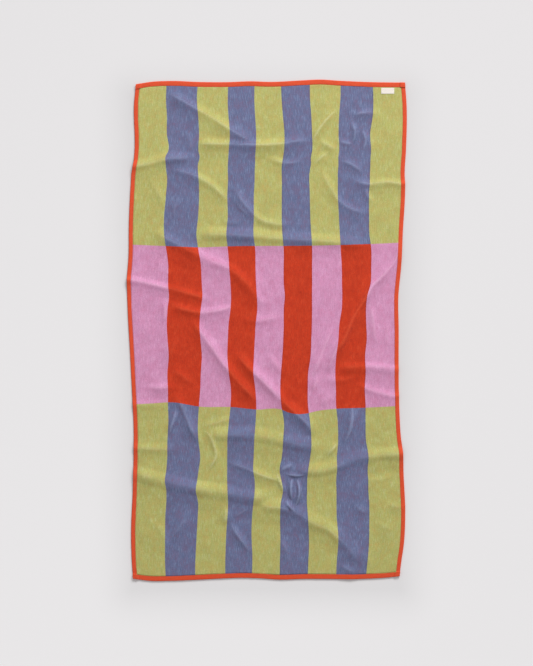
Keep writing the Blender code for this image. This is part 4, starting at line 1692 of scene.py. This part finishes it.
@dataclass
class WovenLabel:
    """The small bare ribbon label, sewn down at its short ends.

    It lies over the pile by its lift and a soft wave, is pulled down by seam_pull along the seams,
    which lie seam_in from its ends, and curls up towards its lower edge.
    """

    makeup: Makeup
    maker: MeshMaker
    centre: tuple[float, float] = (335.0, 666.5)
    width: float = 36.0
    height: float = 16.5
    thick: float = 0.45
    across: int = 72
    up: int = 34
    lift: float = 0.55
    wave: Lumps = Lumps(0.12, 7.0, 6.0, 61)
    seam_in: float = 1.6
    seam_pull: float = 0.25
    seam_spread: float = 0.8
    curl: float = 0.12
    rounding: float = 0.5
    thinnest: float = 0.04
    thread: float = 0.34
    stitch: float = 1.6
    stitch_pitch: float = 2.1
    stitch_margins: tuple[float, float] = (1.2, 2.6)
    stitch_arch: float = 0.1
    stitch_sunk: float = 0.05
    stitch_points: int = 6

    def level(self, x: Array, y: Array) -> Array:
        """How high the ribbon's underside lies.

        With u and v the shares across and up, it is the pile's height plus the lift, the wave
        and curl * (1 - v)^2, less the pull times exp(-d^2 / spread), d being the way to a seam.

        Args:
            x, y: Places in plan, in mm.

        Returns:
            The heights, in mm.
        """
        cx, cy = self.centre
        u, v = (x - cx) / self.width + 0.5, (y - cy) / self.height + 0.5
        to_seam = np.minimum(u, 1 - u) * self.width - self.seam_in
        seam = self.seam_pull * np.exp(-(to_seam**2) / self.seam_spread)
        return self.makeup.cloth + self.lift + self.wave.at(x, y) - seam + self.curl * (1 - v) ** 2

    def build(self) -> bpy.types.Object:
        """A thin slab with rounded edges: its two faces meet in a half round at the border.

        Returns:
            The ribbon.
        """
        cx, cy = self.centre
        u, v = np.linspace(0, 1, self.across + 1), np.linspace(0, 1, self.up + 1)
        u, v = np.meshgrid(u, v, indexing="ij")
        x, y = cx + (u - 0.5) * self.width, cy + (v - 0.5) * self.height
        to_edge = np.minimum(np.minimum(u, 1 - u) * self.width, np.minimum(v, 1 - v) * self.height)
        fall = np.clip(1 - to_edge / self.rounding, 0, 1) ** 2
        half = self.thick / 2 * np.sqrt(np.clip(1 - fall, self.thinnest, 1))
        middle = self.level(x, y) + self.thick / 2
        top, under = (
            np.stack([x, y, z], -1).reshape(-1, 3) for z in (middle + half, middle - half)
        )
        index = np.arange(x.size).reshape(x.shape)
        low = index + x.size
        rim_top, rim_low = rim_of(index), rim_of(low)
        wall = np.column_stack([rim_low, np.roll(rim_low, -1), np.roll(rim_top, -1), rim_top])
        faces = [grid_faces(index), grid_faces(low)[:, ::-1], wall]
        uv = np.column_stack([(x - cx).ravel(), (y - cy).ravel()]) * MM
        points = np.vstack([top, under])
        piece = self.maker.make("ribbon_label", points, faces, np.vstack([uv, uv]))
        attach(piece, "root")
        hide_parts("label")
        return piece

    def seams(self) -> bpy.types.Object:
        """The stitches at the label's short ends: tapering arches that run up the label.

        Returns:
            All of them, as one piece.
        """
        cx, cy = self.centre
        s = np.linspace(0, 1, self.stitch_points)
        angle = np.linspace(0, 2 * math.pi, self.stitch_points, endpoint=False)
        low, high = self.stitch_margins
        starts = np.arange(-self.height / 2 + low, self.height / 2 - high, self.stitch_pitch)
        lines = np.array([cx - self.width / 2 + self.seam_in, cx + self.width / 2 - self.seam_in])
        radius = stitch_radius(s, self.thread)
        shape = (len(lines), len(starts), len(s), len(angle))
        x = np.broadcast_to(lines[:, None, None, None] + radius[:, None] * np.cos(angle), shape)
        y = cy + starts[:, None] + self.stitch * s
        y = np.broadcast_to(y[None, :, :, None], shape)
        arch = self.stitch_arch * np.sin(math.pi * s)[:, None]
        z = self.level(x, y) + self.thick - self.stitch_sunk + arch + radius[:, None] * np.sin(angle)
        index = np.arange(x.size).reshape(-1, len(s), len(angle))
        uv = np.column_stack([x.ravel() - cx, y.ravel() - cy]) * MM
        points = np.stack([x, y, z], -1).reshape(-1, 3)
        piece = self.maker.make("label_stitches", points, tube_faces(index, True), uv)
        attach(piece, "root")
        return piece


@dataclass(frozen=True)
class Studio:
    """The pale floor, the soft light and the camera straight above.

    The floor is painted darker along light_way, which points to the light, by the falls: painted
    shade that evens out the lamp's fall and its pool of light on the floor. Close to the towel,
    whose half sizes are painted_shadow_half, it is darker by painted_shadow_depth: a painted shadow
    round the towel.
    """

    centre: tuple[float, float]
    camera_height: float = 3.0
    view_height: float = 1.851
    view_centre: tuple[float, float] = (-0.0014, -0.0056)
    sensor: float = 36.0
    lamp_power: float = 700.0
    lamp_size: tuple[float, float] = (4.6, 2.2)
    lamp_place: Triple = (2.3, 6.2, 3.9)
    lamp_aim: Triple = (0.0, -0.1, 0.0)
    sky: float = 0.54
    floor_half: float = 16.0
    light_way: tuple[float, float] = (0.3, 0.83)
    painted_even_fall: Span = Span(-1.1, 1.1, 1.0, 0.0)
    painted_dim_floor: Colour = (0.575, 0.563, 0.569, 1.0)
    floor_pale: Colour = (0.874, 0.858, 0.866, 1.0)
    painted_far_shade: Span = Span(1.1, 3.4, 0.0, 0.66)
    painted_shadow_half: tuple[float, float] = (0.372, 0.684)
    painted_shadow_shift: float = 0.035
    painted_shadow_fall: Span = Span(0.0, 0.13, 1.0, 0.0)
    painted_shadow_depth: float = 0.125
    floor_roughness: float = 0.9
    floor_specular: float = 0.1

    def floor(self) -> bpy.types.Object:
        """A wide level floor at the towel's underside, with painted shade towards the light and a
        painted shadow round the towel.

        Returns:
            The floor.
        """
        r = self.floor_half
        mesh = bpy.data.meshes.new("floor")
        corners = [(-r, -r, 0.0), (r, -r, 0.0), (r, r, 0.0), (-r, r, 0.0)]
        mesh.from_pydata(corners, [], [(0, 1, 2, 3)])
        piece = bpy.data.objects.new("floor", mesh)
        bpy.context.scene.collection.objects.link(piece)
        material, graph, shader = new_material("pale floor")
        x, y, _ = graph.split(graph.node("ShaderNodeTexCoord").outputs["Object"])
        # Painted shade: the floor is darker towards the light, which evens out the lamp's fall across
        # it.
        away = graph.math("MULTIPLY", y, self.light_way[1])
        away = graph.math("MULTIPLY_ADD", x, self.light_way[0], away)
        plain = graph.mix(graph.span(away, self.painted_even_fall), self.painted_dim_floor, self.floor_pale)
        # Painted shadow: the floor is darker close round the towel, more so below it, fading out over
        # painted_shadow_fall.
        squares = []
        for part, half in zip((x, graph.math("ADD", y, self.painted_shadow_shift)), self.painted_shadow_half):
            beyond = graph.math("SUBTRACT", graph.math("ABSOLUTE", part), half)
            squares.append(graph.math("POWER", graph.math("MAXIMUM", beyond, 0.0), 2.0))
        gap = graph.math("SQRT", graph.math("ADD", *squares))
        near = graph.math("POWER", graph.span(gap, self.painted_shadow_fall), 2.0)
        near = graph.math("MULTIPLY", near, self.painted_shadow_depth)
        # Painted shade: the painted shadow round the towel, or the floor painted darker still towards
        # the lamp's pool of light.
        painted_shade = graph.math("MAXIMUM", near, graph.span(away, self.painted_far_shade))
        graph.put(shader.inputs["Base Color"], graph.mix(painted_shade, plain, (0.0, 0.0, 0.0, 1.0)))
        shader.inputs["Roughness"].default_value = self.floor_roughness
        shader.inputs["Specular IOR Level"].default_value = self.floor_specular
        mesh.materials.append(material)
        return piece

    def light(self) -> None:
        """One wide soft light beyond the towel's upper end, and an even pale sky."""
        lamp = bpy.data.lights.new("window light", "AREA")
        lamp.shape = "RECTANGLE"
        lamp.size, lamp.size_y = self.lamp_size
        lamp.energy = self.lamp_power
        thing = bpy.data.objects.new("window light", lamp)
        thing.location = self.lamp_place
        aim = np.array(self.lamp_aim) - np.array(thing.location)
        turn = math.atan2(aim[1], aim[0])
        drop = math.atan2(-aim[2], math.hypot(aim[0], aim[1]))
        thing.rotation_euler = (math.pi / 2 - drop, 0, turn - math.pi / 2)
        bpy.context.scene.collection.objects.link(thing)
        world = bpy.data.worlds.new("studio")
        world.use_nodes = True
        background = world.node_tree.nodes["Background"]
        background.inputs[0].default_value = (1.0, 1.0, 1.0, 1.0)
        background.inputs[1].default_value = self.sky
        bpy.context.scene.world = world

    def camera(self) -> None:
        """A camera straight above the view's middle, its lens set by the height that it covers."""
        data = bpy.data.cameras.new("camera")
        data.sensor_fit = "VERTICAL"
        data.sensor_height = self.sensor
        data.lens = self.sensor * self.camera_height / self.view_height
        thing = bpy.data.objects.new("camera", data)
        x, y = (place - middle * MM for place, middle in zip(self.view_centre, self.centre))
        thing.location = (x, y, self.camera_height)
        bpy.context.scene.collection.objects.link(thing)
        bpy.context.scene.camera = thing

    def build(self) -> None:
        """Sets up floor, light, camera and a plain view of colours."""
        self.floor()
        self.light()
        self.camera()
        bpy.context.scene.view_settings.view_transform = "Standard"


def report(piece: bpy.types.Object) -> None:
    """Logs a piece's name and size."""
    mesh = piece.data
    LOG.info("%s: %d points, %d faces", piece.name, len(mesh.vertices), len(mesh.polygons))


def main() -> None:
    """Builds the towel's pieces in the order of making, and then the studio."""
    logging.basicConfig(level=logging.INFO, format="%(message)s")
    makeup = Makeup()
    maker = MeshMaker(makeup)
    effects = Effects()
    terry = TerryCloth(makeup, maker)
    cloth = terry.build()
    terry.dress(cloth, effects)
    strip, thread = BINDING_FINISH.material(effects), THREAD_FINISH.material(effects)
    trims = []
    for side in Side:
        binding = Binding(side, makeup, maker)
        piece = binding.build()
        binding.dress(piece, strip)
        seam = Stitching(binding).build()
        seam.data.materials.append(thread)
        trims += [piece, seam]
    label = WovenLabel(makeup, maker)
    ribbon, tacks = label.build(), label.seams()
    ribbon.data.materials.append(LABEL_FINISH.material(effects))
    tacks.data.materials.append(LABEL_THREAD_FINISH.material(effects))
    trims += [ribbon, tacks]
    for piece in (cloth, *trims):
        report(piece)
    Studio(centre=makeup.outline.centre()).build()
    flat = (makeup.outline.width * MM, makeup.outline.length * MM)


if __name__ == "__main__":
    main()
